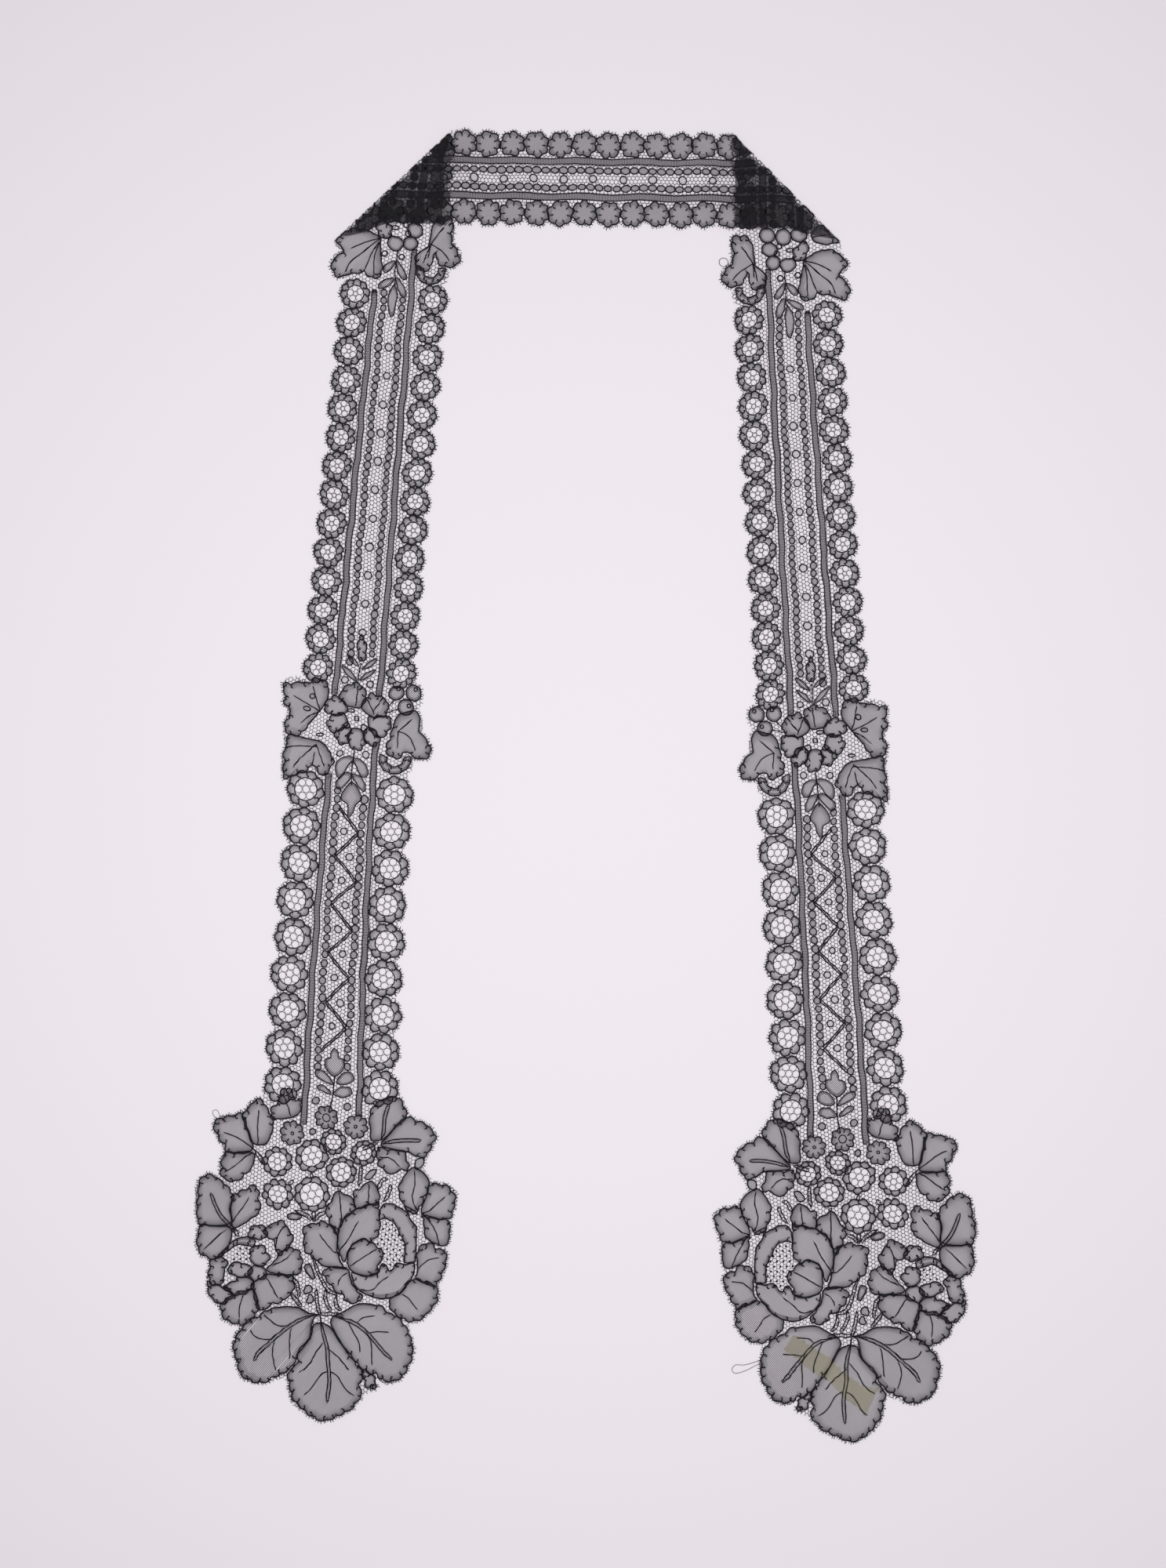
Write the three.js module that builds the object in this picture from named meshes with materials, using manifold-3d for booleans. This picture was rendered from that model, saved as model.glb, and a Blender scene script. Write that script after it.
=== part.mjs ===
// A long lace lappet worn as a collar, laid flat: one strip of black lace, folded over at two
// corners so that it makes an arch.  Three stretches show, and each is one solid:
//   left_lappet   the hanging end on the -X side, flat on the table
//   neck_band     the middle of the strip, on top of both ends at the folds
//   right_lappet  the hanging end on the +X side, flat on the table
// Millimetres.  +Z is up, +Y runs from the hanging ends towards the neck band.
import * as THREE from 'three';
import { mergeVertices } from 'three/addons/utils/BufferGeometryUtils.js';
import Module from 'manifold-3d';

// ---------------------------------------------------------------- driving dimensions

const WALL = 1;                  // thickness of the cloth wall
const GAP = 0.3;                 // clearance between two stretches of the strip

// Each hanging end follows a slightly bowed centre line.  Its foot is the tip of the end leaf, and
// at a height h (in units of REACH above the tip) the line stands a*h + b*h^2 + c*h^3 to the side.
const REACH = 400;
const LEFT = {
  tip: [-100.6, -243.2],
  bow: [1.5, 33.5, -10.3],
  inward: 1,                     // the inner edge looks towards +X
};
const RIGHT = {
  tip: [102.4, -251.2],
  bow: [-8.0, -28.4, 13.4],
  inward: -1,
};

// Two straight folds, each from the outer corner to the top edge of the band.
const LEFT_FOLD = { outer: [-93.8, 209.3], top: [-50.4, 250.1] };
const RIGHT_FOLD = { outer: [96.7, 208.2], top: [57.7, 247.5] };

// Borders of little ring flowers on the hanging ends.  Places are measured up from the tip,
// offsets sideways from the centre line.
const LOWER_RINGS = { first: 127.8, pitch: 14.1, count: 9, offset: 18.6, taper: -0.2, radius: 7.4 };
const UPPER_RINGS = { first: 287.0, pitch: 11.0, count: 14, offset: 15.8, taper: -0.08, radius: 6.0 };
const RING_NOTCH = 0.62;         // depth of the nick between two ring flowers, in radii
const EDGE_PICOT = 0.4;          // reach of the edge loops beyond the flowers

// The neck band and its border of small flowers.
const BAND_LEFT = [-55.0, 232.5];   // a point on the band's centre line near the left fold
const BAND_SLOPE = -0.0134;      // fall of that line for each millimetre towards +X
const BAND_HALF = 18.4;          // centre line to the crest of a border flower
const BAND_NICK = 1.9;           // depth of the nick between two border flowers
const BAND_PITCH = 9.2;          // border flowers, centre to centre
const BAND_FIRST = -45.9;        // X of the first whole border flower
const BAND_STEP = BAND_PITCH / 6;   // spacing of the sections along the band
const CORNER_RUN = 22;           // stretch over which the lower edge bends down to a corner

// Where the band leaves the ends it lies on, and how far it takes to come down to the table.
const SETTLE_LEFT = -49.0;
const SETTLE_RIGHT = 56.5;
const SETTLE_RUN = 14;

// Leafy edge of the hanging end, as rounded lobes: [crest, notch] from the tip upwards.
const TIP = [0.5, 0];
const UNDER_BAND = [13.1, 530];  // where the edges head for, hidden under the band
const INNER_END_LOBES = [
  [[10.5, 4.5], [15.5, 10.5]], [[20.8, 12.2], [20.0, 16.0]],
  [[28.0, 15.0], [32.5, 22.0]], [[35.2, 28.0], [31.5, 38.0]],
  [[41.8, 44.5], [42.0, 53.5]], [[47.2, 61.0], [46.3, 69.0]],
  [[48.3, 74.5], [46.8, 80.0]], [[49.6, 90.0], [38.0, 93.5]],
  [[36.2, 97.0], [35.2, 100.5]], [[41.0, 110.3], [33.5, 116.3]],
  [[30.0, 119.3], [26.0, 121.5]],
];
const OUTER_END_LOBES = [
  [[-10.2, 5.5], [-13.5, 17.5]], [[-26.0, 14.0], [-32.5, 22.0]],
  [[-34.4, 29.0], [-31.5, 36.5]], [[-38.3, 40.5], [-39.0, 45.5]],
  [[-44.6, 51.5], [-42.5, 60.5]], [[-49.0, 66.5], [-47.6, 73.5]],
  [[-50.0, 87.5], [-40.5, 92.0]], [[-41.5, 97.0], [-40.0, 102.0]],
  [[-43.6, 112.3], [-33.5, 116.0]], [[-30.6, 120.5], [-25.5, 122.3]],
];

// Leafy bunches half way up and just under the fold, in the same way.
const INNER_MIDDLE_LOBES = [
  [[23.2, 251.5], [22.0, 254.0]], [[30.2, 258.0], [25.0, 265.0]],
  [[25.8, 269.0], [22.3, 273.0]], [[25.4, 278.5], [20.5, 282.0]],
];
const OUTER_MIDDLE_LOBES = [
  [[-26.6, 247.0], [-25.2, 256.0]], [[-27.6, 262.0], [-25.4, 269.0]],
  [[-28.3, 272.0], [-27.0, 275.5]], [[-27.5, 281.3], [-20.5, 282.3]],
];
const INNER_TOP_LOBES = [
  [[20.5, 439.5], [19.5, 443.0]], [[24.6, 447.5], [20.5, 453.0]],
  [[20.9, 457.5], [19.5, 462.0]],
];
const OUTER_TOP_LOBES = [
  [[-25.0, 439.5], [-21.8, 446.0]], [[-25.0, 449.5], [-21.0, 454.5]],
  [[-22.0, 460.0], [-19.5, 463.5]],
];

const LOBE_STEPS = 5;            // straight pieces in one rounded lobe
const RING_STEPS = 4;            // straight pieces in one ring flower's edge
const TURN_STEPS = 8;            // straight pieces in the half-round turn of a fold

// The slab that cuts a stretch off at a fold is larger than anything beyond the fold.
const CUT_BEFORE = 40;           // how far it starts before the fold's outer corner
const CUT_LENGTH = 180;
const CUT_REACH = 90;
const CUT_HEIGHT = 20;
const BAND_OVERRUN = 4;          // the band's plate runs this far past the corners before the cut

const wasm = await Module();
wasm.setup();

// ---------------------------------------------------------------- materials

function lace(name, colour) {
  return new THREE.MeshStandardMaterial({ name, color: colour, roughness: 0.85, metalness: 0 });
}

// ---------------------------------------------------------------- outline of a hanging end

// A rounded lobe from the path's last point, over the crest, to the notch.
function lobe(path, crest, notch) {
  const from = path.currentPoint;
  const pull = [2 * crest[0] - (from.x + notch[0]) / 2, 2 * crest[1] - (from.y + notch[1]) / 2];
  path.quadraticCurveTo(pull[0], pull[1], notch[0], notch[1]);
}

// The lobes of a border of ring flowers on one side: side is +1 for the inner edge.
function ringLobes(rings, side) {
  const lobes = [];
  for (let i = 0; i < rings.count; i += 1) {
    const up = rings.first + i * rings.pitch;
    const across = rings.offset + i * rings.taper;
    const crest = [side * (across + rings.radius + EDGE_PICOT), up];
    const notch = [side * (across + rings.radius * RING_NOTCH), up + rings.pitch / 2];
    lobes.push([crest, notch]);
  }
  return lobes;
}

// One long edge, from the tip up to the fold, as points.
function edge(side, endLobes, middleLobes, topLobes) {
  const path = new THREE.Path();
  path.moveTo(TIP[0], TIP[1]);
  for (const [crest, notch] of endLobes) lobe(path, crest, notch);
  const leafy = path.getPoints(LOBE_STEPS);
  const rings = new THREE.Path();
  rings.moveTo(leafy.at(-1).x, leafy.at(-1).y);
  for (const [crest, notch] of ringLobes(LOWER_RINGS, side)) lobe(rings, crest, notch);
  const lower = rings.getPoints(RING_STEPS);
  const bunch = new THREE.Path();
  bunch.moveTo(lower.at(-1).x, lower.at(-1).y);
  for (const [crest, notch] of middleLobes) lobe(bunch, crest, notch);
  const middle = bunch.getPoints(LOBE_STEPS);
  const more = new THREE.Path();
  more.moveTo(middle.at(-1).x, middle.at(-1).y);
  for (const [crest, notch] of ringLobes(UPPER_RINGS, side)) lobe(more, crest, notch);
  const upper = more.getPoints(RING_STEPS);
  const last = new THREE.Path();
  last.moveTo(upper.at(-1).x, upper.at(-1).y);
  for (const [crest, notch] of topLobes) lobe(last, crest, notch);
  const top = last.getPoints(LOBE_STEPS);
  const overFold = new THREE.Vector2(side * UNDER_BAND[0], UNDER_BAND[1]);
  return [leafy, lower.slice(1), middle.slice(1), upper.slice(1), top.slice(1), [overFold]].flat();
}

// From the straight frame of the strip (across, up) to the table (x, y) along the bowed line.
function onTable(end, point) {
  const [a, b, c] = end.bow;
  const h = point.y / REACH;
  const aside = a * h + b * h * h + c * h * h * h;
  const slope = (a + 2 * b * h + 3 * c * h * h) / REACH;
  const length = Math.hypot(1, slope);
  const across = end.inward * point.x / length;
  return new THREE.Vector2(end.tip[0] + aside + across, end.tip[1] + point.y - across * slope);
}

// ---------------------------------------------------------------- closed solids and cuts

function toSolid(geometry) {
  const bare = geometry.clone();
  bare.deleteAttribute('normal');
  bare.deleteAttribute('uv');
  const welded = mergeVertices(bare, 1e-4);
  return new wasm.Manifold(new wasm.Mesh({
    numProp: 3,
    vertProperties: new Float32Array(welded.attributes.position.array),
    triVerts: new Uint32Array(welded.index.array),
  }));
}

function toGeometry(solid) {
  const mesh = solid.getMesh();
  const geometry = new THREE.BufferGeometry();
  geometry.setAttribute('position', new THREE.BufferAttribute(mesh.vertProperties, 3));
  geometry.setIndex(new THREE.BufferAttribute(mesh.triVerts, 1));
  geometry.computeVertexNormals();
  return geometry;
}

// Unit vectors of a fold: along it, and away from the hanging end.
function foldFrame(fold) {
  const along = new THREE.Vector2(fold.top[0] - fold.outer[0], fold.top[1] - fold.outer[1]);
  const length = along.length();
  along.divideScalar(length);
  const away = new THREE.Vector2(-along.y, along.x);
  if (away.y < 0) away.negate();
  return { along, away, length };
}

// Everything beyond a fold line, as a tall slab; back moves the cut towards the hanging end.
function beyondFold(fold, back) {
  const { along, away } = foldFrame(fold);
  const start = new THREE.Vector2(...fold.outer).addScaledVector(along, -CUT_BEFORE);
  start.addScaledVector(away, -back);
  const finish = start.clone().addScaledVector(along, CUT_LENGTH);
  const shape = new THREE.Shape([
    start,
    finish,
    finish.clone().addScaledVector(away, CUT_REACH),
    start.clone().addScaledVector(away, CUT_REACH),
  ]);
  const slab = new THREE.ExtrudeGeometry(shape, { depth: CUT_HEIGHT, bevelEnabled: false });
  slab.translate(0, 0, -CUT_HEIGHT / 2);
  return toSolid(slab);
}

// ---------------------------------------------------------------- the three stretches

// A hanging end: the outline as a flat wall on the table, cut off just short of the fold.
function hangingEnd(end, fold) {
  const inner = edge(1, INNER_END_LOBES, INNER_MIDDLE_LOBES, INNER_TOP_LOBES);
  const outer = edge(-1, OUTER_END_LOBES, OUTER_MIDDLE_LOBES, OUTER_TOP_LOBES);
  const outline = [...inner, ...outer.slice(1).reverse()].map((point) => onTable(end, point));
  const wall = new THREE.ExtrudeGeometry(new THREE.Shape(outline), {
    depth: WALL,
    bevelEnabled: false,
  });
  return toSolid(wall).subtract(beyondFold(fold, GAP));
}

const LAYER = WALL + GAP;        // height of the upper layer's underside

function smooth(t) {
  const k = Math.min(Math.max(t, 0), 1);
  return k * k * (3 - 2 * k);
}

// Height of the band's underside: on top of the ends at the folds, on the table between them.
function bandLift(x) {
  const left = 1 - smooth((x - SETTLE_LEFT) / SETTLE_RUN);
  const right = smooth((x - SETTLE_RIGHT + SETTLE_RUN) / SETTLE_RUN);
  return LAYER * Math.max(left, right);
}

function bandCentre(x) {
  return BAND_LEFT[1] + BAND_SLOPE * (x - BAND_LEFT[0]);
}

// Half height of the band, with a crest at each border flower.
function bandHalf(x) {
  const wave = Math.abs(Math.sin(Math.PI * (x - BAND_FIRST) / BAND_PITCH));
  return BAND_HALF - BAND_NICK * wave ** 3;
}

// The whole middle stretch as sections across it, each a rectangle at the band's height there.
function bandPlate() {
  const from = LEFT_FOLD.outer[0] - BAND_OVERRUN;
  const to = RIGHT_FOLD.outer[0] + BAND_OVERRUN;
  const count = Math.ceil((to - from) / BAND_STEP);
  const corners = [];
  for (let i = 0; i <= count; i += 1) {
    const x = from + (to - from) * i / count;
    const low = bandCentre(x) - bandHalf(x) - cornerDrop(x);
    const high = bandCentre(x) + bandHalf(x);
    const z = bandLift(x);
    corners.push([x, low, z], [x, high, z], [x, high, z + WALL], [x, low, z + WALL]);
  }
  const faces = [];
  for (let i = 0; i < count; i += 1) {
    for (let k = 0; k < 4; k += 1) {
      const a = 4 * i + k;
      const b = 4 * i + (k + 1) % 4;
      faces.push(a, b, b + 4, a, b + 4, a + 4);
    }
  }
  const last = 4 * count;
  faces.push(0, 2, 1, 0, 3, 2);
  faces.push(last, last + 1, last + 2, last, last + 2, last + 3);
  const geometry = new THREE.BufferGeometry();
  geometry.setAttribute('position', new THREE.Float32BufferAttribute(corners.flat(), 3));
  geometry.setIndex(faces);
  return toSolid(geometry);
}

// At each outer corner the band's lower edge reaches down to the end of the fold.
function cornerDrop(x) {
  const left = smooth((LEFT_FOLD.outer[0] + CORNER_RUN - x) / CORNER_RUN);
  const right = smooth((x - RIGHT_FOLD.outer[0] + CORNER_RUN) / CORNER_RUN);
  const leftGap = bandCentre(LEFT_FOLD.outer[0]) - BAND_HALF - LEFT_FOLD.outer[1];
  const rightGap = bandCentre(RIGHT_FOLD.outer[0]) - BAND_HALF - RIGHT_FOLD.outer[1];
  return left * leftGap + right * rightGap;
}

// The half-round turn of the cloth along a fold, from the lower layer up to the band.
function foldTurn(fold) {
  const { along, away, length } = foldFrame(fold);
  const outer = (2 * WALL + GAP) / 2;
  const inner = GAP / 2;
  const section = new THREE.Shape();
  section.moveTo(0, -outer);
  section.absarc(0, 0, outer, -Math.PI / 2, Math.PI / 2, false);
  section.lineTo(-GAP, outer);
  section.lineTo(-GAP, inner);
  section.lineTo(0, inner);
  section.absarc(0, 0, inner, Math.PI / 2, -Math.PI / 2, true);
  section.closePath();
  const turn = new THREE.ExtrudeGeometry(section, {
    depth: length,
    bevelEnabled: false,
    curveSegments: TURN_STEPS,
  });
  const x = new THREE.Vector3(away.x, away.y, 0);
  const y = new THREE.Vector3(0, 0, 1);
  const z = new THREE.Vector3(along.x, along.y, 0);
  const turned = new THREE.Matrix4().makeBasis(x, y, z);
  if (turned.determinant() < 0) {
    turned.makeBasis(x, y, z.negate());
    turned.setPosition(fold.top[0], fold.top[1], outer);
  } else {
    turned.setPosition(fold.outer[0], fold.outer[1], outer);
  }
  turn.applyMatrix4(turned);
  return toSolid(turn);
}

function neckBand() {
  return bandPlate()
    .subtract(beyondFold(LEFT_FOLD, 0))
    .subtract(beyondFold(RIGHT_FOLD, 0))
    .add(foldTurn(LEFT_FOLD))
    .add(foldTurn(RIGHT_FOLD));
}

// ---------------------------------------------------------------- the collar

const group = new THREE.Group();

function place(name, solid, colour) {
  const mesh = new THREE.Mesh(toGeometry(solid), lace(name, colour));
  mesh.name = name;
  group.add(mesh);
}

place('left_lappet', hangingEnd(LEFT, LEFT_FOLD), '#2b2a30');
place('neck_band', neckBand(), '#1f1e24');
place('right_lappet', hangingEnd(RIGHT, RIGHT_FOLD), '#2b2a30');

export default group;
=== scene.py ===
"""A black lace lappet worn as a collar, laid flat with two folded corners.

The lace is one long strip.  Its pattern is drawn once, in the strip's own straight frame, in
millimetres: "across" is positive towards the other hanging end, "up" counts from the leaf tip.
Each hanging end is then laid on the table along its own bowed line, and the neck band has a
frame of its own.  Everything that shows is thread or cloth with a real shape: hexagonal net,
cloth-stitch panels, outlining cord, and the loops along the edge.
"""

import functools
import math

import bpy
import numpy as np
from bpy.props import FloatProperty, FloatVectorProperty, IntProperty, PointerProperty
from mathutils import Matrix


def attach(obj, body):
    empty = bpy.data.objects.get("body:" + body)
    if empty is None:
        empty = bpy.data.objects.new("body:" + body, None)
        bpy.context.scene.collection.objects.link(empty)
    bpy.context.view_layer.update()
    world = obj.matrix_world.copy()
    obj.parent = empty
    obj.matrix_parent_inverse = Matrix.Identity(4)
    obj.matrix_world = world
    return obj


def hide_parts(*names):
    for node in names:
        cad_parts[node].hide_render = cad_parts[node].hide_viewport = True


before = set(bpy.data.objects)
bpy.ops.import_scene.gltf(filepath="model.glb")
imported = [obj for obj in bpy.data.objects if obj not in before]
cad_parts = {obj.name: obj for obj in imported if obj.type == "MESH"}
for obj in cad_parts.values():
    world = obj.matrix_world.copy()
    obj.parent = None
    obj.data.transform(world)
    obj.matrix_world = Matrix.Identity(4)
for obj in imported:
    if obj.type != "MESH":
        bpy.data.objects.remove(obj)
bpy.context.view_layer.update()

bl_info = {
    "name": "Lace lappet collar",
    "version": (1, 0, 0),
    "blender": (4, 5, 0),
    "location": "View3D > Sidebar > Lace",
    "description": "Makes a folded black lace lappet from net, cloth stitch, cord and edge loops",
    "category": "Add Mesh",
}

MM = 0.001

# ------------------------------------------------------------------ how the strip lies

REACH = 400.0                    # height in millimetres that one unit of the bow stands for
LOW_LAYER = 0.35                 # middle of the cloth on the table
HIGH_LAYER = 1.35                # middle of the cloth that lies over a hanging end
LEFT_FOLD = ((-93.8, 209.3), (-50.4, 250.1))
RIGHT_FOLD = ((96.7, 208.2), (57.7, 247.5))
BAND_START = (-55.0, 232.5)      # a point of the neck band's centre line
BAND_SLOPE = -0.0134             # fall of that line for each millimetre towards +X
BAND_HALF = 18.4
SETTLE_LEFT = -49.0              # where the band leaves the end under it
SETTLE_RIGHT = 56.5
SETTLE_RUN = 14.0                # how far it takes to come down to the table
CORNER_RUN = 22.0                # how far the band's lower edge takes to reach a corner
SHOWN_PAST_FOLD = 0.8            # the turn itself needs half its round
END_LIFT = 0.45                  # height of the slow ripple of a hanging end
END_RIPPLE = 9.0                 # size of that ripple's waves
END_LIFT_RUN = 30.0              # how far from the fold the ripple is full
BAND_LIFT = 0.4
BAND_RIPPLE = 8.0


def smooth(t):
    """A soft step: 3t^2 - 2t^3 between 0 and 1, flat beyond."""
    t = np.clip(t, 0.0, 1.0)
    return t * t * (3.0 - 2.0 * t)


def ripple(x, y, size):
    """Gentle unevenness of hand-laid cloth: three slow crossing waves, from 0 to 1."""
    waves = np.sin(x / size + 1.3) * np.cos(y / (1.7 * size) + 0.4)
    waves = waves + 0.6 * np.sin((x + 0.7 * y) / (2.3 * size) + 2.1)
    return 0.5 + 0.25 * (waves + 0.4 * np.cos((0.5 * x - y) / (0.8 * size)))


def hand_drawn(across, up, seed):
    """Wandering of hand-made lace: crossing waves of about a fifth of a millimetre."""
    s = seed * 2.7
    aside = 0.22 * np.sin(up / 4.3 + s) + 0.14 * np.sin(up / 1.9 + across / 3.1 + 2 * s)
    along = 0.20 * np.sin(across / 3.7 + s) + 0.14 * np.cos(up / 2.3 - across / 4.1 + s)
    return across + aside, up + along


class Fold:
    """A straight fold line and the half-round turn of the cloth over it."""

    def __init__(self, line):
        self.start = np.array(line[0])
        step = np.subtract(line[1], line[0])
        along = step / np.hypot(*step)
        self.away = np.array((-along[1], along[0])) * np.sign(along[0])

    def beyond(self, x, y):
        """Distance past the fold line, negative on the hanging end's side."""
        return (x - self.start[0]) * self.away[0] + (y - self.start[1]) * self.away[1]

    def turn(self, x, y, z, upper):
        """Cloth past the line goes round a half circle: at a distance d the angle is d over the
        radius, and what is left over lies upside down on the other layer."""
        radius = (HIGH_LAYER - LOW_LAYER) / 2
        middle = (HIGH_LAYER + LOW_LAYER) / 2
        side = 1.0 if upper else -1.0
        past = self.beyond(x, y)
        angle = np.clip(past / radius, 0, math.pi)
        rest = np.clip(past - math.pi * radius, 0, None)
        reach = side * (z - middle)
        out = reach * np.sin(angle) - rest
        over = past > 0
        move = np.where(over, out - past, 0.0)
        height = np.where(over, middle + side * reach * np.cos(angle), z)
        return x + move * self.away[0], y + move * self.away[1], height


class HangingEnd:
    """Lays the strip along a bowed line: at a height h above the tip, in units of REACH, the
    line stands a*h + b*h^2 + c*h^3 to the side, and "across" is measured square to it."""

    def __init__(self, tip, bow, inward, fold, seed):
        self.tip = tip
        self.bow = bow
        self.inward = inward
        self.fold = Fold(fold)
        self.seed = seed

    def flat(self, across, up):
        """Places on the table, before the fold, of places in the strip."""
        across, up = hand_drawn(across, up, self.seed)
        a, b, c = self.bow
        h = up / REACH
        aside = a * h + b * h * h + c * h ** 3
        slope = (a + 2 * b * h + 3 * c * h * h) / REACH
        across = self.inward * across / np.hypot(1, slope)
        return self.tip[0] + aside + across, self.tip[1] + up - across * slope

    def kept(self, across, up):
        """Whether a place shows: the strip is drawn up to the fold and a little round it."""
        x, y = self.flat(across, up)
        return self.fold.beyond(x, y) < SHOWN_PAST_FOLD

    def lay(self, points):
        """Lays points on the table: the low layer, a slow ripple away from the fold, the turn."""
        x, y = self.flat(points[:, 0], points[:, 1])
        away = smooth(-self.fold.beyond(x, y) / END_LIFT_RUN)
        z = LOW_LAYER + points[:, 2] + END_LIFT * away * ripple(x, y, END_RIPPLE)
        return np.column_stack(self.fold.turn(x, y, z, False))


class NeckBand:
    """Lays the middle of the strip: "across" runs along X and "up" is the height above the
    band's gently falling centre line.  Its lower edge reaches down to the two corners."""

    inward = 1

    def __init__(self, seed):
        self.seed = seed
        self.left = Fold(LEFT_FOLD)
        self.right = Fold(RIGHT_FOLD)

    def centre(self, x):
        """Height on the table of the band's centre line, which falls evenly."""
        return BAND_START[1] + BAND_SLOPE * (x - BAND_START[0])

    def drop(self, x):
        """How far the lower edge reaches below the band near each corner: a soft step times the
        gap between the corner and the straight lower edge."""
        left = smooth((LEFT_FOLD[0][0] + CORNER_RUN - x) / CORNER_RUN)
        right = smooth((x - RIGHT_FOLD[0][0] + CORNER_RUN) / CORNER_RUN)
        left_gap = self.centre(LEFT_FOLD[0][0]) - BAND_HALF - LEFT_FOLD[0][1]
        right_gap = self.centre(RIGHT_FOLD[0][0]) - BAND_HALF - RIGHT_FOLD[0][1]
        return left * left_gap + right * right_gap

    def flat(self, x, up):
        """Places on the table: the lower half is stretched down to the corners."""
        x, up = hand_drawn(x, up, self.seed)
        low = np.clip(-up / BAND_HALF, 0, None)
        return x, self.centre(x) + up - low * self.drop(x)

    def kept(self, x, up):
        """Whether a place shows, between the two folds."""
        x, y = self.flat(x, up)
        left, right = self.left.beyond(x, y), self.right.beyond(x, y)
        return (left < SHOWN_PAST_FOLD) & (right < SHOWN_PAST_FOLD)

    def lay(self, points):
        """Lays points: the high layer at both ends comes down softly to the table between."""
        x, y = self.flat(points[:, 0], points[:, 1])
        left = 1 - smooth((x - SETTLE_LEFT) / SETTLE_RUN)
        right = smooth((x - SETTLE_RIGHT + SETTLE_RUN) / SETTLE_RUN)
        over = np.maximum(left, right)
        level = LOW_LAYER + (HIGH_LAYER - LOW_LAYER) * over
        z = level + points[:, 2] + BAND_LIFT * (1 - over) * ripple(x, y, BAND_RIPPLE)
        x, y, z = self.left.turn(x, y, z, True)
        return np.column_stack(self.right.turn(x, y, z, True))


# ------------------------------------------------------------------ lines in the strip's frame


def spaced(path, step, closed):
    """The same line with points an even distance apart, close to the step."""
    if closed:
        path = np.vstack([path, path[:1]])
    run = np.concatenate([[0], np.cumsum(np.hypot(*np.diff(path, axis=0).T))])
    count = max(2, int(math.ceil(run[-1] / step)))
    if closed:
        at = np.linspace(0, run[-1], max(count, 6) + 1)[:-1]
    else:
        at = np.linspace(0, run[-1], count + 1)
    return np.column_stack([np.interp(at, run, path[:, 0]), np.interp(at, run, path[:, 1])])


def curve(points, closed=False, step=0.9):
    """A smooth line through the points: on each stretch the cubic whose slope at a point is half
    the step between its two neighbours."""
    p = np.asarray(points, float)
    if closed:
        ring = np.vstack([p[-1:], p, p[:2]])
    else:
        ring = np.vstack([2 * p[0] - p[1], p, 2 * p[-1] - p[-2]])
    a, b, c, d = ring[:-3], ring[1:-2], ring[2:-1], ring[3:]
    t = (np.arange(8) / 8)[:, None, None]
    line = 2 * b + (c - a) * t + (2 * a - 5 * b + 4 * c - d) * t ** 2
    line = 0.5 * (line + (3 * b - a - 3 * c + d) * t ** 3)
    line = line.transpose(1, 0, 2).reshape(-1, 2)
    if not closed:
        line = np.vstack([line, p[-1]])
    return spaced(line, step, closed)


def lobed(start, lobes, steps=6):
    """Rounded lobes, each a parabola from the last notch, over its crest, to the next notch."""
    t = (np.arange(steps) + 1) / steps
    line = [np.array([start])]
    for crest, notch in lobes:
        here = line[-1][-1]
        pull = 2 * np.array(crest) - (here + np.array(notch)) / 2
        arc = np.outer((1 - t) ** 2, here) + np.outer(2 * t * (1 - t), pull)
        line.append(arc + np.outer(t ** 2, notch))
    return np.vstack(line)


def spokes(count, turn):
    """Unit vectors at even angles, the first at the turn."""
    a = turn + 2 * math.pi * np.arange(count) / count
    return np.column_stack([np.cos(a), np.sin(a)])


def circle(centre, across, up, count, turn=0.0):
    """A closed oval line: cosine times one half width, sine times the other."""
    a = turn + np.arange(count) * 2 * math.pi / count
    return np.column_stack([centre[0] + across * np.cos(a), centre[1] + up * np.sin(a)])


def scalloped(centre, radius, petals, depth, turn, count):
    """A closed line of round petals: the radius is full on a petal and dips by the depth, as
    the absolute sine of half the petal angle does, in the nicks between them."""
    a = np.arange(count) * 2 * math.pi / count
    wave = np.abs(np.sin(petals * (a - turn) / 2)) ** 0.75
    r = radius * (1 - depth + depth * wave)
    return np.column_stack([centre[0] + r * np.cos(a), centre[1] + r * np.sin(a)])


def normals(path, closed):
    """Unit vectors to the left of the line."""
    if closed:
        step = np.roll(path, -1, axis=-2) - np.roll(path, 1, axis=-2)
    else:
        step = np.gradient(path, axis=-2)
    step = step / np.maximum(np.hypot(step[..., 0], step[..., 1]), 1e-9)[..., None]
    return np.stack([-step[..., 1], step[..., 0]], axis=-1)


def signed_area(ring):
    """Area of a closed outline by half the sum of cross products of neighbouring points, positive
    when it runs anticlockwise."""
    x, y = ring[:, 0], ring[:, 1]
    return 0.5 * float(np.sum(x * np.roll(y, -1) - y * np.roll(x, -1)))


def inside(points, ring):
    """Which points lie in a closed outline, by counting the sides that a level ray crosses."""
    found = np.zeros(len(points), bool)
    low, high = ring.min(axis=0), ring.max(axis=0)
    near = np.flatnonzero(np.all((points >= low) & (points <= high), axis=1))
    if not len(near):
        return found
    x, y = points[near, 0][:, None], points[near, 1][:, None]
    ax, ay = ring[:, 0], ring[:, 1]
    bx, by = np.roll(ax, -1), np.roll(ay, -1)
    rise = np.where(by == ay, 1e-12, by - ay)
    crossing = (ay > y) != (by > y)
    at = ax + (y - ay) * (bx - ax) / rise
    found[near] = (crossing & (x < at)).sum(axis=1) % 2 == 1
    return found


# ------------------------------------------------------------------ thread and cloth as meshes

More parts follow.
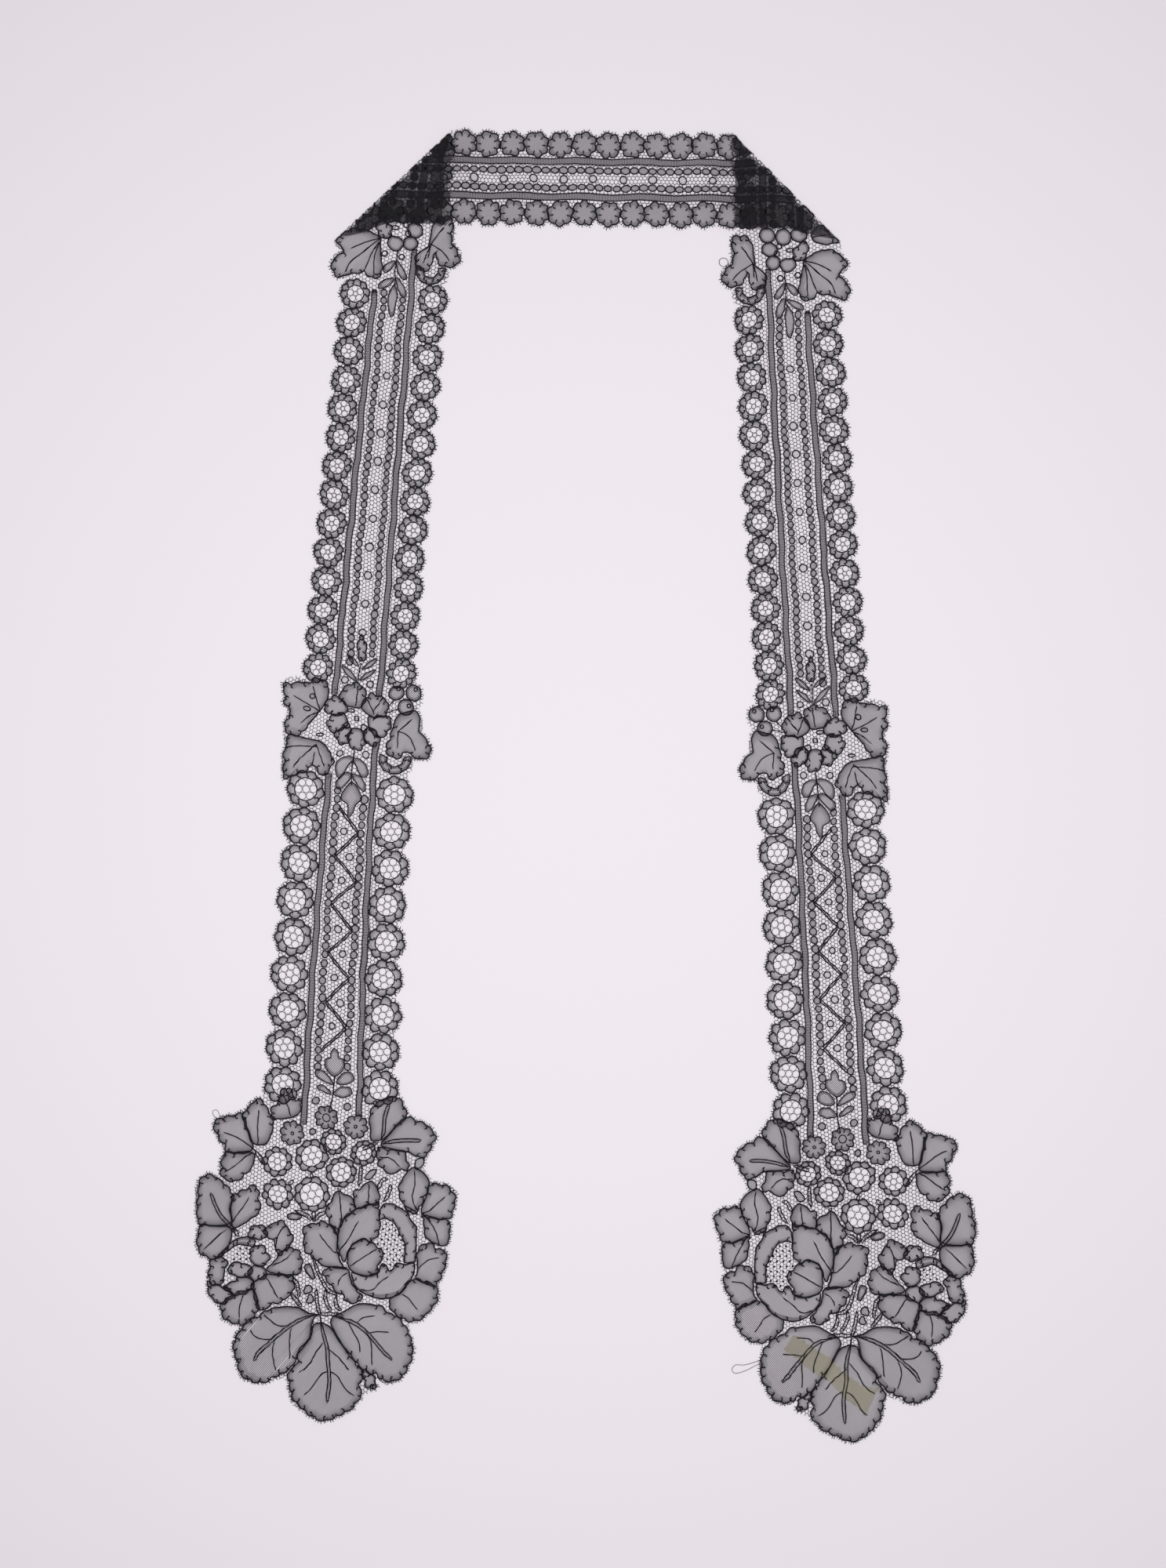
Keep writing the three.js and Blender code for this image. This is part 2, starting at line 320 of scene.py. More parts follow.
# DOUBLED is the closer, darker cloth of a folded corner, partly painted shade between its two layers.
CLOTH, RIM, HALF_RIM, DOUBLED, THREAD, STAIN = range(6)     # finishes of a cloth piece
CORD, FINE = 0, 1                # finishes of a thread piece
CLOTH_LOW, CLOTH_HIGH = -0.09, 0.02
NET_LOW, NET_HIGH = -0.16, 0.02
SLANT_LEVELS = (CLOTH_HIGH - 0.02, CLOTH_HIGH + 0.07)
CORD_LEVEL = 0.08


class Mesh:
    """Gathers points of the strip's frame and faces, then lays them on the table."""

    def __init__(self):
        self.points = []
        self.guide = []
        self.quads = []
        self.corners = []
        self.quad_finish = []
        self.corner_finish = []
        self.count = 0

    def put(self, flat, height, guide=None):
        """Adds points at a height above the cloth's middle and says where they start."""
        flat = np.asarray(flat, float).reshape(-1, 2)
        height = np.broadcast_to(np.asarray(height, float).ravel(), (len(flat),))
        self.points.append(np.column_stack([flat, height]))
        if guide is None:
            guide = np.column_stack([flat, height])
        self.guide.append(guide)
        start = self.count
        self.count += len(flat)
        return start

    def face(self, index, finish):
        """Adds faces, three or four points each."""
        index = np.asarray(index).reshape(-1, np.shape(index)[-1])
        many, kinds = (self.quads, self.quad_finish)
        if index.shape[1] == 3:
            many, kinds = (self.corners, self.corner_finish)
        many.append(index)
        kinds.append(np.full(len(index), finish))

    def cords(self, paths, radius, height=CORD_LEVEL, sides=4, closed=False, finish=CORD):
        """Threads along flat lines, all with the same number of points: a section of a few
        sides stands square to each line, as wide as the radius and a little flatter."""
        paths = np.asarray(paths, float)
        if paths.ndim == 2:
            paths = paths[None]
        many, length, _ = paths.shape
        radius = np.broadcast_to(radius, (many, length))[..., None]
        side = normals(paths, closed)
        a = 2 * math.pi * (np.arange(sides) + 0.5) / sides
        flat = paths[:, :, None] + (radius * np.cos(a))[..., None] * side[:, :, None]
        level = height + 0.8 * radius * np.sin(a)
        step = np.diff(paths, axis=1, prepend=paths[:, :1])
        along = np.cumsum(np.hypot(step[..., 0], step[..., 1]), axis=1)[..., None]
        round_it = np.broadcast_to(np.arange(sides) / sides, level.shape)
        guide = np.stack([along + 0 * level, round_it, 0 * level], axis=-1)
        start = self.put(flat.reshape(-1, 2), level, guide.reshape(-1, 3))
        index = start + np.arange(many * length * sides).reshape(many, length, sides)
        after = np.roll(index, -1, axis=1) if closed else index[:, 1:]
        here = index if closed else index[:, :-1]
        turn = np.roll(here, -1, axis=2)
        turn_after = np.roll(after, -1, axis=2)
        self.face(np.stack([here, turn, turn_after, after], axis=-1), finish)
        if not closed:
            self.face(index[:, 0, ::-1], finish)
            self.face(index[:, -1], finish)

    def slab(self, rows, closed=False, hub=None, finishes=(CLOTH,), drop=0.0):
        """Thin cloth between lines that run side by side, to the left of one another: an upper
        and a lower face, walls along the first and last line, and a fan to the hub, if any."""
        rows = np.asarray(rows, float)
        many, length, _ = rows.shape
        top = self.put(rows.reshape(-1, 2), CLOTH_HIGH - drop)
        top = top + np.arange(many * length).reshape(many, length)
        ends = rows[:1] if hub is not None else rows[[0, -1]]
        low = self.put(ends.reshape(-1, 2), CLOTH_LOW - drop)
        low = low + np.arange(len(ends) * length).reshape(-1, length)

        def stretch(line, other, finish):
            """Faces between two lines, closed round if the cloth is."""
            a, b = line, other
            if closed:
                a, b = np.append(a, a[0]), np.append(b, b[0])
            self.face(np.stack([a[:-1], a[1:], b[1:], b[:-1]], axis=-1), finish)

        for i in range(many - 1):
            stretch(top[i], top[i + 1], finishes[min(i, len(finishes) - 1)])
        stretch(low[0], top[0], RIM)
        if hub is not None:
            point = self.put([hub], CLOTH_HIGH + 0.05 - drop)
            inner, outer = top[-1], low[0]
            fan = finishes[-1]
            self.face(np.stack([inner, np.roll(inner, -1), 0 * inner + point], axis=-1), fan)
            point = self.put([hub], CLOTH_LOW - drop)
            self.face(np.stack([outer, 0 * outer + point, np.roll(outer, -1)], axis=-1), fan)
            return
        stretch(low[-1], low[0], finishes[min(1, len(finishes) - 1)])
        stretch(top[-1], low[-1], RIM)
        if not closed:
            for column, back in ((0, False), (-1, True)):
                rim = np.concatenate([top[:, column], [low[-1][column], low[0][column]]])
                fan = np.stack([0 * rim[1:-1] + rim[0], rim[1:-1], rim[2:]], axis=-1)
                self.face(fan[:, ::-1] if back else fan, RIM)

    def threads(self, starts, ends, width, low, high, finish):
        """Straight net threads: prisms of three sides, flat below, that meet at their ends."""
        step = ends - starts
        step = step / np.maximum(np.hypot(step[:, 0], step[:, 1]), 1e-9)[:, None]
        side = np.column_stack([-step[:, 1], step[:, 0]]) * width / 2
        tuck = step * width * 0.3
        a, b = starts - tuck, ends + tuck
        flat = np.stack([a - side, a + side, a, b - side, b + side, b], axis=1)
        height = np.array([low, low, high, low, low, high])
        start = self.put(flat.reshape(-1, 2), np.tile(height, len(a)))
        i = start + 6 * np.arange(len(a))[:, None]
        for face in ([0, 1, 4, 3], [1, 2, 5, 4], [2, 0, 3, 5], [0, 2, 1], [3, 4, 5]):
            self.face(i + np.array(face), finish)

    def finish(self, name, lay, materials):
        """Lays the points and makes the object, flat-shaded cloth and smooth thread."""
        points = lay.lay(np.vstack(self.points)) * MM
        quads = np.vstack(self.quads) if self.quads else np.zeros((0, 4), int)
        corners = np.vstack(self.corners) if self.corners else np.zeros((0, 3), int)
        if lay.inward < 0:
            quads, corners = quads[:, ::-1], corners[:, ::-1]
        mesh = bpy.data.meshes.new(name)
        mesh.vertices.add(len(points))
        mesh.vertices.foreach_set("co", points.ravel())
        loops = np.concatenate([quads.ravel(), corners.ravel()])
        mesh.loops.add(len(loops))
        mesh.loops.foreach_set("vertex_index", loops)
        mesh.polygons.add(len(quads) + len(corners))
        starts = [np.arange(len(quads)) * 4, quads.size + np.arange(len(corners)) * 3]
        mesh.polygons.foreach_set("loop_start", np.concatenate(starts))
        kinds = np.concatenate(self.quad_finish + self.corner_finish)
        mesh.polygons.foreach_set("material_index", kinds)
        guide = mesh.attributes.new("guide", "FLOAT_VECTOR", "POINT")
        guide.data.foreach_set("vector", np.vstack(self.guide).ravel())
        for material in materials:
            mesh.materials.append(material)
        mesh.update(calc_edges=True)
        is_cloth = len(materials) > THREAD
        round_thread = (kinds == THREAD) if is_cloth else np.ones(len(kinds), bool)
        mesh.polygons.foreach_set("use_smooth", round_thread)
        piece = bpy.data.objects.new(name, mesh)
        bpy.context.collection.objects.link(piece)
        return piece


# ------------------------------------------------------------------ the drawing of the lace

OUTLINE = 0.34                   # radius of the cord round a leaf or petal
VEIN = 0.29                      # radius of a raised rib's cord
LIGHT_CORD = 0.26                # radius of the cord of small or light shapes
BEAD_CORD = 0.3
STAR_THREAD = 0.1                # radius of the loops in a ring flower's hole
EDGE_THREAD = 0.15               # radius of the loops along the free edges
EDGE_NEAR = 1.9                  # how close a cord lies to the strip's edge to carry loops
RIM_WIDTH = 1.0                  # strip of closest cloth along an outline
OUTLINE_STEP = 1.0
NICK_PITCH = 4.4                 # spacing of the nicks round a leaf or petal
NICK_DEPTH = 0.95
RIB_PITCH = 0.62                 # spacing of the ribs across a tape
SLANT = math.radians(48)         # run of the slanting threads of the cloth stitch
SLANT_PITCH = 0.62
SLANT_WIDTH = 0.16
NICKED_FROM = 20.0               # shapes with a shorter outline have no nicks
RING_NICKS = 0.19                # depth of the nicks between petals, as a share of the radius
FLOWER_NICKS = 0.24
RUNG_WIDTH = 0.2                 # threads across a double rib
RUNG_LEVELS = (0.0, 0.15)
PAIR_GAP = 0.6                   # half the gap between the cords of a double rib
STAIN_LIFT = 0.14                # how far the film of a stain lies above the cloth
# The tucked layer also serves as painted shade between the two layers of a folded corner.
SHADED_TUCK_DROP = 0.3                  # how far a tucked layer lies below the cloth
STAIN_POINTS = 46                # points along each edge of a stain


class Drawing:
    """Shapes of one stretch: cloth, cords and the ground that the net keeps out of.  Where the
    stretch is doubled at a corner its cloth stitch is drawn closer and darker, for the close
    cover of the corner and as painted shade for the shade trapped between the two layers."""

    def __init__(self, kept, doubled, axes=(0, 1)):
        self.kept = kept
        self.doubled = doubled
        self.axes = list(axes)   # across the strip and along it
        self.cloth = Mesh()
        self.lines = Mesh()
        self.solid = []          # outlines that hold cloth or open work, where no net runs
        self.rims = []           # outlines that may make the strip's edge
        self.dice = np.random.default_rng(7)

    def shows(self, points):
        """Whether a shape's middle lies on the part of the strip that is drawn."""
        middle = np.mean(points, axis=0)
        return bool(np.all(self.kept(middle[None, 0], middle[None, 1])))

    def stitch(self, points, finishes):
        """The finishes of a shape, closer and darker where the cloth is doubled: close cover and
        painted shade between the layers.
        """
        middle = np.mean(points, axis=0)
        return (DOUBLED,) if self.doubled(middle[0], middle[1]) else finishes

    def wander(self, path, closed, much=0.1):
        """A worked cord isn't quite smooth: it swings to both sides in uneven waves."""
        run = np.arange(len(path)) * 1.9 + self.dice.uniform(0, 6)
        swing = much * (np.sin(run) + 0.6 * np.sin(2.3 * run))
        return path + normals(path, closed) * swing[:, None]

    def cord(self, points, radius=OUTLINE, closed=False, step=OUTLINE_STEP):
        """A worked cord along a smooth line: its radius swells and thins by about a fifth."""
        if not self.shows(points):
            return
        path = self.wander(curve(points, closed, step), closed)
        along = np.arange(len(path))
        uneven = radius * (1 + 0.18 * np.sin(1.7 * along + self.dice.uniform(0, 6)))
        self.lines.cords(path, uneven, closed=closed)

    def vein(self, points, double=False):
        """A raised rib: one cord, or a pair that opens from the root and closes at the tip."""
        if not double:
            self.cord(points, VEIN)
            return
        path = curve(points, step=OUTLINE_STEP)
        t = np.linspace(0, 1, len(path))
        half = PAIR_GAP * smooth(t / 0.25) * (1 - 0.5 * smooth((t - 0.9) / 0.1))
        side = normals(path, False) * half[:, None]
        self.cord(np.vstack([path + side, (path - side)[::-1]]), VEIN, closed=True)
        rungs = slice(3, len(path) - 1)
        starts, ends = (path - side)[rungs], (path + side)[rungs]
        self.lines.threads(starts, ends, RUNG_WIDTH, *RUNG_LEVELS, FINE)

    def nicked(self, path, root):
        """Small round lobes along a closed outline, away from the leaf's root: the line is moved
        out and in by the absolute sine of the run along it, which leaves a nick between two
        lobes.  Gives the new line and the places of the nicks."""
        long = len(path) * OUTLINE_STEP
        lobes = max(3, int(round(long / NICK_PITCH)))
        count = int(4.5 * lobes)
        fine = spaced(path, long / count, True)
        count = len(fine)
        run = np.arange(count) / count * lobes + self.dice.uniform(0, 1)
        bulge = np.abs(np.sin(math.pi * run)) ** 0.7 - 0.62
        weight = np.ones(count)
        if root is not None:
            gone = np.hypot(*(fine - root).T)
            weight = smooth((gone / gone.max() - 0.3) / 0.3)
        moved = fine - normals(fine, True) * (NICK_DEPTH * weight * bulge)[:, None]
        at = np.flatnonzero(np.diff(np.floor(run)) > 0)
        return moved, at[weight[at] > 0.5]

    def hooks(self, path, at, reach=1.15):
        """The outline turns inwards at its nicks: a small hook at each place of a closed line."""
        count = len(at)
        if not count:
            return
        inward = normals(path, True)[at]
        along = np.column_stack([inward[:, 1], -inward[:, 0]])
        along = along * self.dice.choice([-1.0, 1.0], count)[:, None]
        base = path[at]
        deep = reach * self.dice.uniform(0.8, 1.3, count)[:, None]
        bend = [base, base + 0.6 * deep * inward, base + deep * inward + 0.15 * deep * along,
                base + 0.95 * deep * inward + 0.6 * deep * along]
        self.lines.cords(np.stack(bend, axis=1), OUTLINE)

    def panel(self, points, cord=OUTLINE, rim=True, nicks=True, root=None):
        """A leaf or petal as thin cloth: the outline, two lines just inside it, each a smaller
        copy about the middle, and the middle itself."""
        if not self.shows(points):
            return
        path = curve(points, True, OUTLINE_STEP)
        if signed_area(path) < 0:
            path = path[::-1]
        at = []
        if nicks and len(path) * OUTLINE_STEP > NICKED_FROM:
            path, at = self.nicked(path, root)
        path = self.wander(path, True, 0.08)
        middle = np.mean(path, axis=0)
        reach = np.mean(np.hypot(*(path - middle).T))
        rows = [path]
        for inset in (RIM_WIDTH, 2.2 * RIM_WIDTH):
            if reach > 2 * inset:
                rows.append(middle + (path - middle) * (1 - inset / reach))
        finishes = self.stitch(path, (RIM, HALF_RIM, CLOTH))
        self.cloth.slab(rows, closed=True, hub=middle, finishes=finishes)
        self.weave(path)
        self.solid.append(path)
        if cord:
            self.lines.cords(path, cord, closed=True)
        if rim:
            self.rims.append(path)
        self.hooks(path, at)

    def crescent(self, outer, inner, cord=OUTLINE, rim=True):
        """A petal that curls round: cloth between two lines from one tip to the other."""
        if not self.shows(outer):
            return
        first = curve(outer, step=0.3)
        count = max(4, int(len(first) * 0.3 / OUTLINE_STEP))
        a = first[np.linspace(0, len(first) - 1, count).round().astype(int)]
        second = curve(inner, step=0.3)
        b = second[np.linspace(0, len(second) - 1, count).round().astype(int)]
        ring = np.vstack([a, b[::-1]])
        if signed_area(ring) < 0:
            a, b = b, a
            ring = np.vstack([a, b[::-1]])
        wide = np.mean(np.hypot(*(b - a).T))
        inset = min(0.35, RIM_WIDTH / max(wide, 0.1))
        rows = [a, a + (b - a) * inset, b + (a - b) * inset, b]
        self.cloth.slab(rows, finishes=(RIM, CLOTH, RIM))
        self.weave(ring)
        self.solid.append(ring)
        if cord:
            self.cord(ring, cord, closed=True)
        if rim:
            self.rims.append(ring)
            self.hooks(ring, np.arange(3, len(ring) - 3, 5))

    def weave(self, ring):
        """The slanting threads of the cloth stitch, cut off by the outline: level lines are laid
        across the outline, turned level too, and kept between each odd and even crossing."""
        c, d = math.cos(SLANT), math.sin(SLANT)
        turn = np.array([[c, -d], [d, c]])
        starts = ring @ turn
        ends = np.roll(ring, -1, axis=0) @ turn
        levels = np.arange(starts[:, 1].min(), starts[:, 1].max(), SLANT_PITCH)[:, None]
        crossed = (starts[:, 1] > levels) != (ends[:, 1] > levels)
        rise = np.where(ends[:, 1] == starts[:, 1], 1e-9, ends[:, 1] - starts[:, 1])
        at = starts[:, 0] + (levels - starts[:, 1]) / rise * (ends[:, 0] - starts[:, 0])
        at = np.sort(np.where(crossed, at, np.nan), axis=1)[:, :8]
        left, right = at[:, 0::2], at[:, 1::2]
        left = left[:, :right.shape[1]]
        keep = ~np.isnan(right) & (right - left > 0.3)
        level = np.broadcast_to(levels, left.shape)
        first = np.column_stack([left[keep], level[keep]]) @ turn.T
        last = np.column_stack([right[keep], level[keep]]) @ turn.T
        self.lines.threads(first, last, SLANT_WIDTH, *SLANT_LEVELS, FINE)

    def patch(self, upper, lower):
        """A stain that dried into a thin film over the cloth, between two uneven lines."""
        rows = []
        for line in (upper, lower):
            path = curve(line, step=0.3)
            path = path[np.linspace(0, len(path) - 1, STAIN_POINTS).round().astype(int)]
            rows.append(self.wander(path, False, 0.25))
        self.cloth.slab(rows, finishes=(STAIN,), drop=-STAIN_LIFT)

    def tuck(self, outline):
        """A plain layer of cloth under a folded corner, where the strip is turned in; it also lies
        there as painted shade, a dark sheet for the shade trapped between the two layers.
        """
        ring = spaced(np.array(outline, float), 2.0, True)
        if signed_area(ring) < 0:
            ring = ring[::-1]
        self.cloth.slab([ring], True, np.mean(ring, axis=0), (DOUBLED,), drop=SHADED_TUCK_DROP)

    def ring_flower(self, centre, radius, hole, petals, cells, turn=0.3):
        """Round petals of cloth about an open middle, filled by a star of thin loops."""
        if not self.shows([centre]):
            return
        count = 4 * petals
        edge = scalloped(centre, radius, petals, RING_NICKS, turn, count)
        mouth = circle(centre, hole, hole, count)
        part = RIM_WIDTH / (radius - hole)
        rows = [edge, edge + (mouth - edge) * part * 0.8, edge + (mouth - edge) * part * 1.7, mouth]
        self.cloth.slab(rows, True, None, (RIM, HALF_RIM, CLOTH))
        self.solid.append(edge)
        self.rims.append(edge)
        self.lines.cords(edge, OUTLINE, closed=True)
        self.lines.cords(circle(centre, hole, hole, 18), LIGHT_CORD, closed=True, sides=3)
        away = spokes(petals, turn)
        aside = np.column_stack([-away[:, 1], away[:, 0]])
        aside = aside * self.dice.choice([-1, 1], petals)[:, None]
        nick = centre + away * radius * 0.83
        deep = (radius - hole) * 0.42
        bend = [nick + 0.2 * away, nick - 0.55 * deep * away, nick - deep * away + 0.3 * deep * aside,
                nick - 0.8 * deep * away + 0.75 * deep * aside]
        self.lines.cords(np.stack(bend, axis=1), OUTLINE)
        cell = hole * math.sin(math.pi / cells) / (1 + math.sin(math.pi / cells))
        spots = centre + (hole - cell) * spokes(cells, turn)
        loops = np.stack([circle(spot, cell, cell, 8) for spot in spots])
        self.lines.cords(loops, STAR_THREAD, 0.0, 3, True, FINE)
        small = hole - 2 * cell
        self.lines.cords(circle(centre, small, small, 6), STAR_THREAD, 0.0, 3, True, FINE)

    def flower(self, centre, radius, petals=8, eye=0.0, turn=0.2, rim=True):
        """A solid little flower of round petals, with short ribs from its nicks."""
        if not self.shows([centre]):
            return
        edge = scalloped(centre, radius, petals, FLOWER_NICKS, turn, 5 * petals)
        edge = self.wander(edge, True, 0.12)
        rows = [edge, centre + 0.66 * (edge - centre), centre + 0.36 * (edge - centre)]
        finishes = self.stitch(edge, (RIM, HALF_RIM, HALF_RIM))
        self.cloth.slab(rows, True, np.array(centre), finishes)
        self.solid.append(edge)
        self.lines.cords(edge, OUTLINE, closed=True)
        if rim:
            self.rims.append(edge)
        away = spokes(petals, turn)
        ribs = np.stack([centre + 0.76 * radius * away, centre + 0.5 * radius * away], axis=1)
        self.lines.cords(ribs, LIGHT_CORD, sides=3)
        if eye:
            self.lines.cords(circle(centre, eye, eye, 8), LIGHT_CORD, closed=True, sides=3)

    def beads(self, centres, across, up, fill=HALF_RIM):
        """Small oval spots of cloth, each with its ring of cord, where nothing covers them."""
        centres = np.asarray(centres, float)
        hidden = np.zeros(len(centres), bool)
        for ring in self.solid:
            hidden |= inside(centres, ring)
        for centre in centres[~hidden]:
            if not self.shows([centre]):
                continue
            size = 1 + self.dice.uniform(-0.12, 0.12)
            ring = circle(centre, across * size, up * size, 9, self.dice.uniform(0, 1))
            self.cloth.slab([ring], True, np.array(centre), self.stitch(ring, (fill,)))
            self.lines.cords(ring, BEAD_CORD, closed=True)
            self.solid.append(ring)

    def eyelet(self, centre, across, up=None):
        """A ring of cord."""
        if self.shows([centre]):
            self.lines.cords(circle(centre, across, up or across, 9), OUTLINE, closed=True)

    def bar(self, line, width, step=4.0):
        """A straight tape of cloth with a cord along both sides."""
        path = curve(line, step=step)
        path = path[self.kept(path[:, 0], path[:, 1])]
        if len(path) < 2:
            return
        side = normals(path, False) * width / 2
        self.cloth.slab([path - side, path + side], finishes=self.stitch(path, (HALF_RIM,)))
        self.solid.append(np.vstack([path - side, (path + side)[::-1]]))
        for edge in (path - side, path + side):
            fine = self.wander(spaced(edge, 1.8, False), False, 0.06)
            self.lines.cords(fine, LIGHT_CORD)
        ribs = spaced(path, RIB_PITCH, False)
        side = normals(ribs, False) * width / 2
        self.lines.threads(ribs - side, ribs + side, SLANT_WIDTH, *SLANT_LEVELS, FINE)

    def net(self, outline, pitch, width):
        """Six-sided net over the stretch, its cells stacked up the strip in columns, every other
        column half a cell higher: each cell owns three of its sides, and a side is kept where its
        middle is in the outline, off the cloth and short of the fold."""
        low, high = outline.min(axis=0)[self.axes], outline.max(axis=0)[self.axes]
        side = pitch / math.sqrt(3)
        columns = np.arange(int((high[0] - low[0]) / (1.5 * side)) + 2)
        rows = np.arange(int((high[1] - low[1]) / pitch) + 2)
        i, j = [grid.ravel() for grid in np.meshgrid(columns, rows)]
        centre = np.column_stack([low[0] + 1.5 * side * i, low[1] + pitch * (j + 0.5 * (i % 2))])
        corner = np.array([[side, 0], [side / 2, pitch / 2], [-side / 2, pitch / 2], [-side, 0]])
        starts = np.vstack([centre + corner[k] for k in range(3)])[:, self.axes]
        ends = np.vstack([centre + corner[k + 1] for k in range(3)])[:, self.axes]
        starts, ends = uneven_net(starts), uneven_net(ends)
        middle = (starts + ends) / 2
        keep = inside(middle, outline) & self.kept(middle[:, 0], middle[:, 1])
        for ring in self.solid:
            within = np.mean(ring, axis=0) + (ring - np.mean(ring, axis=0)) * 0.97
            keep &= ~inside(middle, within)
        self.cloth.threads(starts[keep], ends[keep], width, NET_LOW, NET_HIGH, THREAD)

    def knots(self, ring, pitch, size=0.26):
        """Dots worked into an open ground: small eight-sided grains in slanting rows."""
        low = ring.min(axis=0)
        i, j = [grid.ravel() for grid in np.meshgrid(np.arange(-1, 12), np.arange(-1, 16))]
        spots = low + np.column_stack([pitch * (i + 0.5 * (j % 2)), 0.8 * pitch * j])
        spots = spots[inside(spots, ring)]
        for spot in spots:
            grain = circle(spot, 0.7 * size, 0.7 * size, 6)
            self.lines.cords(grain, size, closed=True, sides=3)

    def picots(self, outline, pitch, reach):
        """Loops and hairs along the free edge: short threads that lean at random, wherever the
        outer cord of a shape lies close to the strip's own outline and no other shape covers it."""
        for ring in self.rims:
            path = spaced(ring, pitch, True)
            path = path[self.kept(path[:, 0], path[:, 1])]
            if len(path) < 3:
                continue
            out = -normals(path, True)
            if signed_area(ring) < 0:
                out = -out
            free = ~inside(path + EDGE_NEAR * out, outline)
            for other in self.solid:
                if other is not ring:
                    free &= ~inside(path + 0.7 * out, other)
            path, out = path[free], out[free]
            if not len(path):
                continue
            lean = self.dice.uniform(-0.5, 0.5, len(path))[:, None]
            aside = np.column_stack([-out[:, 1], out[:, 0]]) * lean
            long = (reach * self.dice.uniform(0.7, 1.2, len(path)))[:, None]
            bend = [path - 0.1 * out, path + 0.4 * long * (out + 0.5 * aside),
                    path + 0.8 * long * (out + aside), path + long * (out + 0.3 * aside)]
            yield np.stack(bend, axis=1)


def uneven_net(points):
    """The net is drawn in by hand: every meeting of threads is a little out of place."""
    x, y = points[:, 0], points[:, 1]
    aside = 0.09 * np.sin(5.1 * x + 3.7 * y) + 0.05 * np.sin(11.3 * x - 7.9 * y)
    along = 0.09 * np.cos(4.3 * x - 5.9 * y) + 0.05 * np.cos(9.1 * x + 8.3 * y)
    return points + np.column_stack([aside, along])


# ------------------------------------------------------------------ the leafy end: shapes
# Every leaf or petal is (outline, single veins, double veins).

BOTTOM_LEAVES = [
    ([(-3, 36.5), (0, 37.3), (3, 36), (5, 34), (7, 31), (8.5, 28), (10.5, 25), (14.8, 19.5),
      (15.5, 16.5), (14.5, 14), (15.5, 9.5), (13.8, 8.5), (12, 5.2), (8, 3.2), (4, 1.3), (0.5, 0.2),
      (-3, 1.3), (-6, 3.5), (-9, 6.5), (-11, 9), (-12, 13), (-13, 17.5), (-12, 19.5), (-9.8, 22),
      (-9.5, 25.5), (-8, 27), (-5, 31), (-4, 33)],
     [[(0.3, 30), (-2, 27), (-4, 23), (-6.5, 20), (-8.7, 18.3)],
      [(2.3, 19), (0, 18.2), (-2, 15.5), (-4, 12), (-6.5, 10)],
      [(1.8, 28), (4, 26), (6, 24.5), (10, 20)],
      [(3.5, 19), (6, 17.5), (8, 14), (10, 11.5), (12.5, 10)]],
     [[(-1, 40), (0, 36), (1, 32), (1.7, 28), (2, 24), (2.6, 19), (2.8, 12), (2.4, 7)]]),
    ([(-1.5, 40.5), (-5, 41), (-9, 43), (-14, 43.5), (-18, 43), (-22, 41.5), (-24.5, 39),
      (-28, 37.5), (-31.5, 33.5), (-34, 28), (-33.5, 25), (-32.5, 22), (-31, 17.5), (-28.5, 15.8),
      (-25, 14.6), (-21, 15), (-19, 17), (-17, 17.5), (-13, 19.5), (-11.5, 21.5), (-10, 24),
      (-9.3, 26.5), (-5.5, 30.5), (-4.5, 33), (-3.7, 37), (-3, 39.5)],
     [[(-13, 36.5), (-17, 36.5), (-20, 38.3), (-22.5, 40)],
      [(-19, 31.2), (-23, 31), (-26, 32), (-27.5, 34)],
      [(-12, 35.5), (-12.3, 31), (-12.7, 24)],
      [(-18.5, 30), (-19.2, 26), (-17.8, 19.5)]],
     [[(-1.5, 40.7), (-5, 39.8), (-9, 38.3), (-13, 36), (-16.5, 33), (-19, 31), (-22, 28),
       (-24.5, 25.5), (-26.3, 22.3)]]),
    ([(4.5, 40.3), (8, 42), (12, 44.5), (16, 45), (19, 44.5), (22, 44.5), (25.5, 41.5), (28, 41),
      (31, 38), (33, 35), (33.8, 31.5), (34.5, 27), (34, 24), (32.5, 22), (31.5, 19), (30, 17),
      (26, 15.7), (22, 16.3), (21, 18.5), (19, 17.8), (15, 20), (12, 24), (8, 29), (6, 32),
      (4.5, 35), (3, 38)],
     [[(13.5, 38), (15.5, 39.8), (19.8, 40.5)],
      [(18, 33.5), (21, 34.2), (25.5, 34.3)],
      [(10, 38.5), (12, 34), (14, 30), (14.5, 26.5)],
      [(17, 34.5), (18.5, 30), (18.8, 26), (19, 21.5)]],
     [[(5, 40), (9, 39), (13, 37.5), (17, 34), (21, 29.5), (24, 26), (26.5, 23.8)]]),
    ([(15, 19.5), (16.5, 15), (17.5, 13), (20.5, 12.5), (20.3, 15.5), (19, 17.5)], [], []),
]

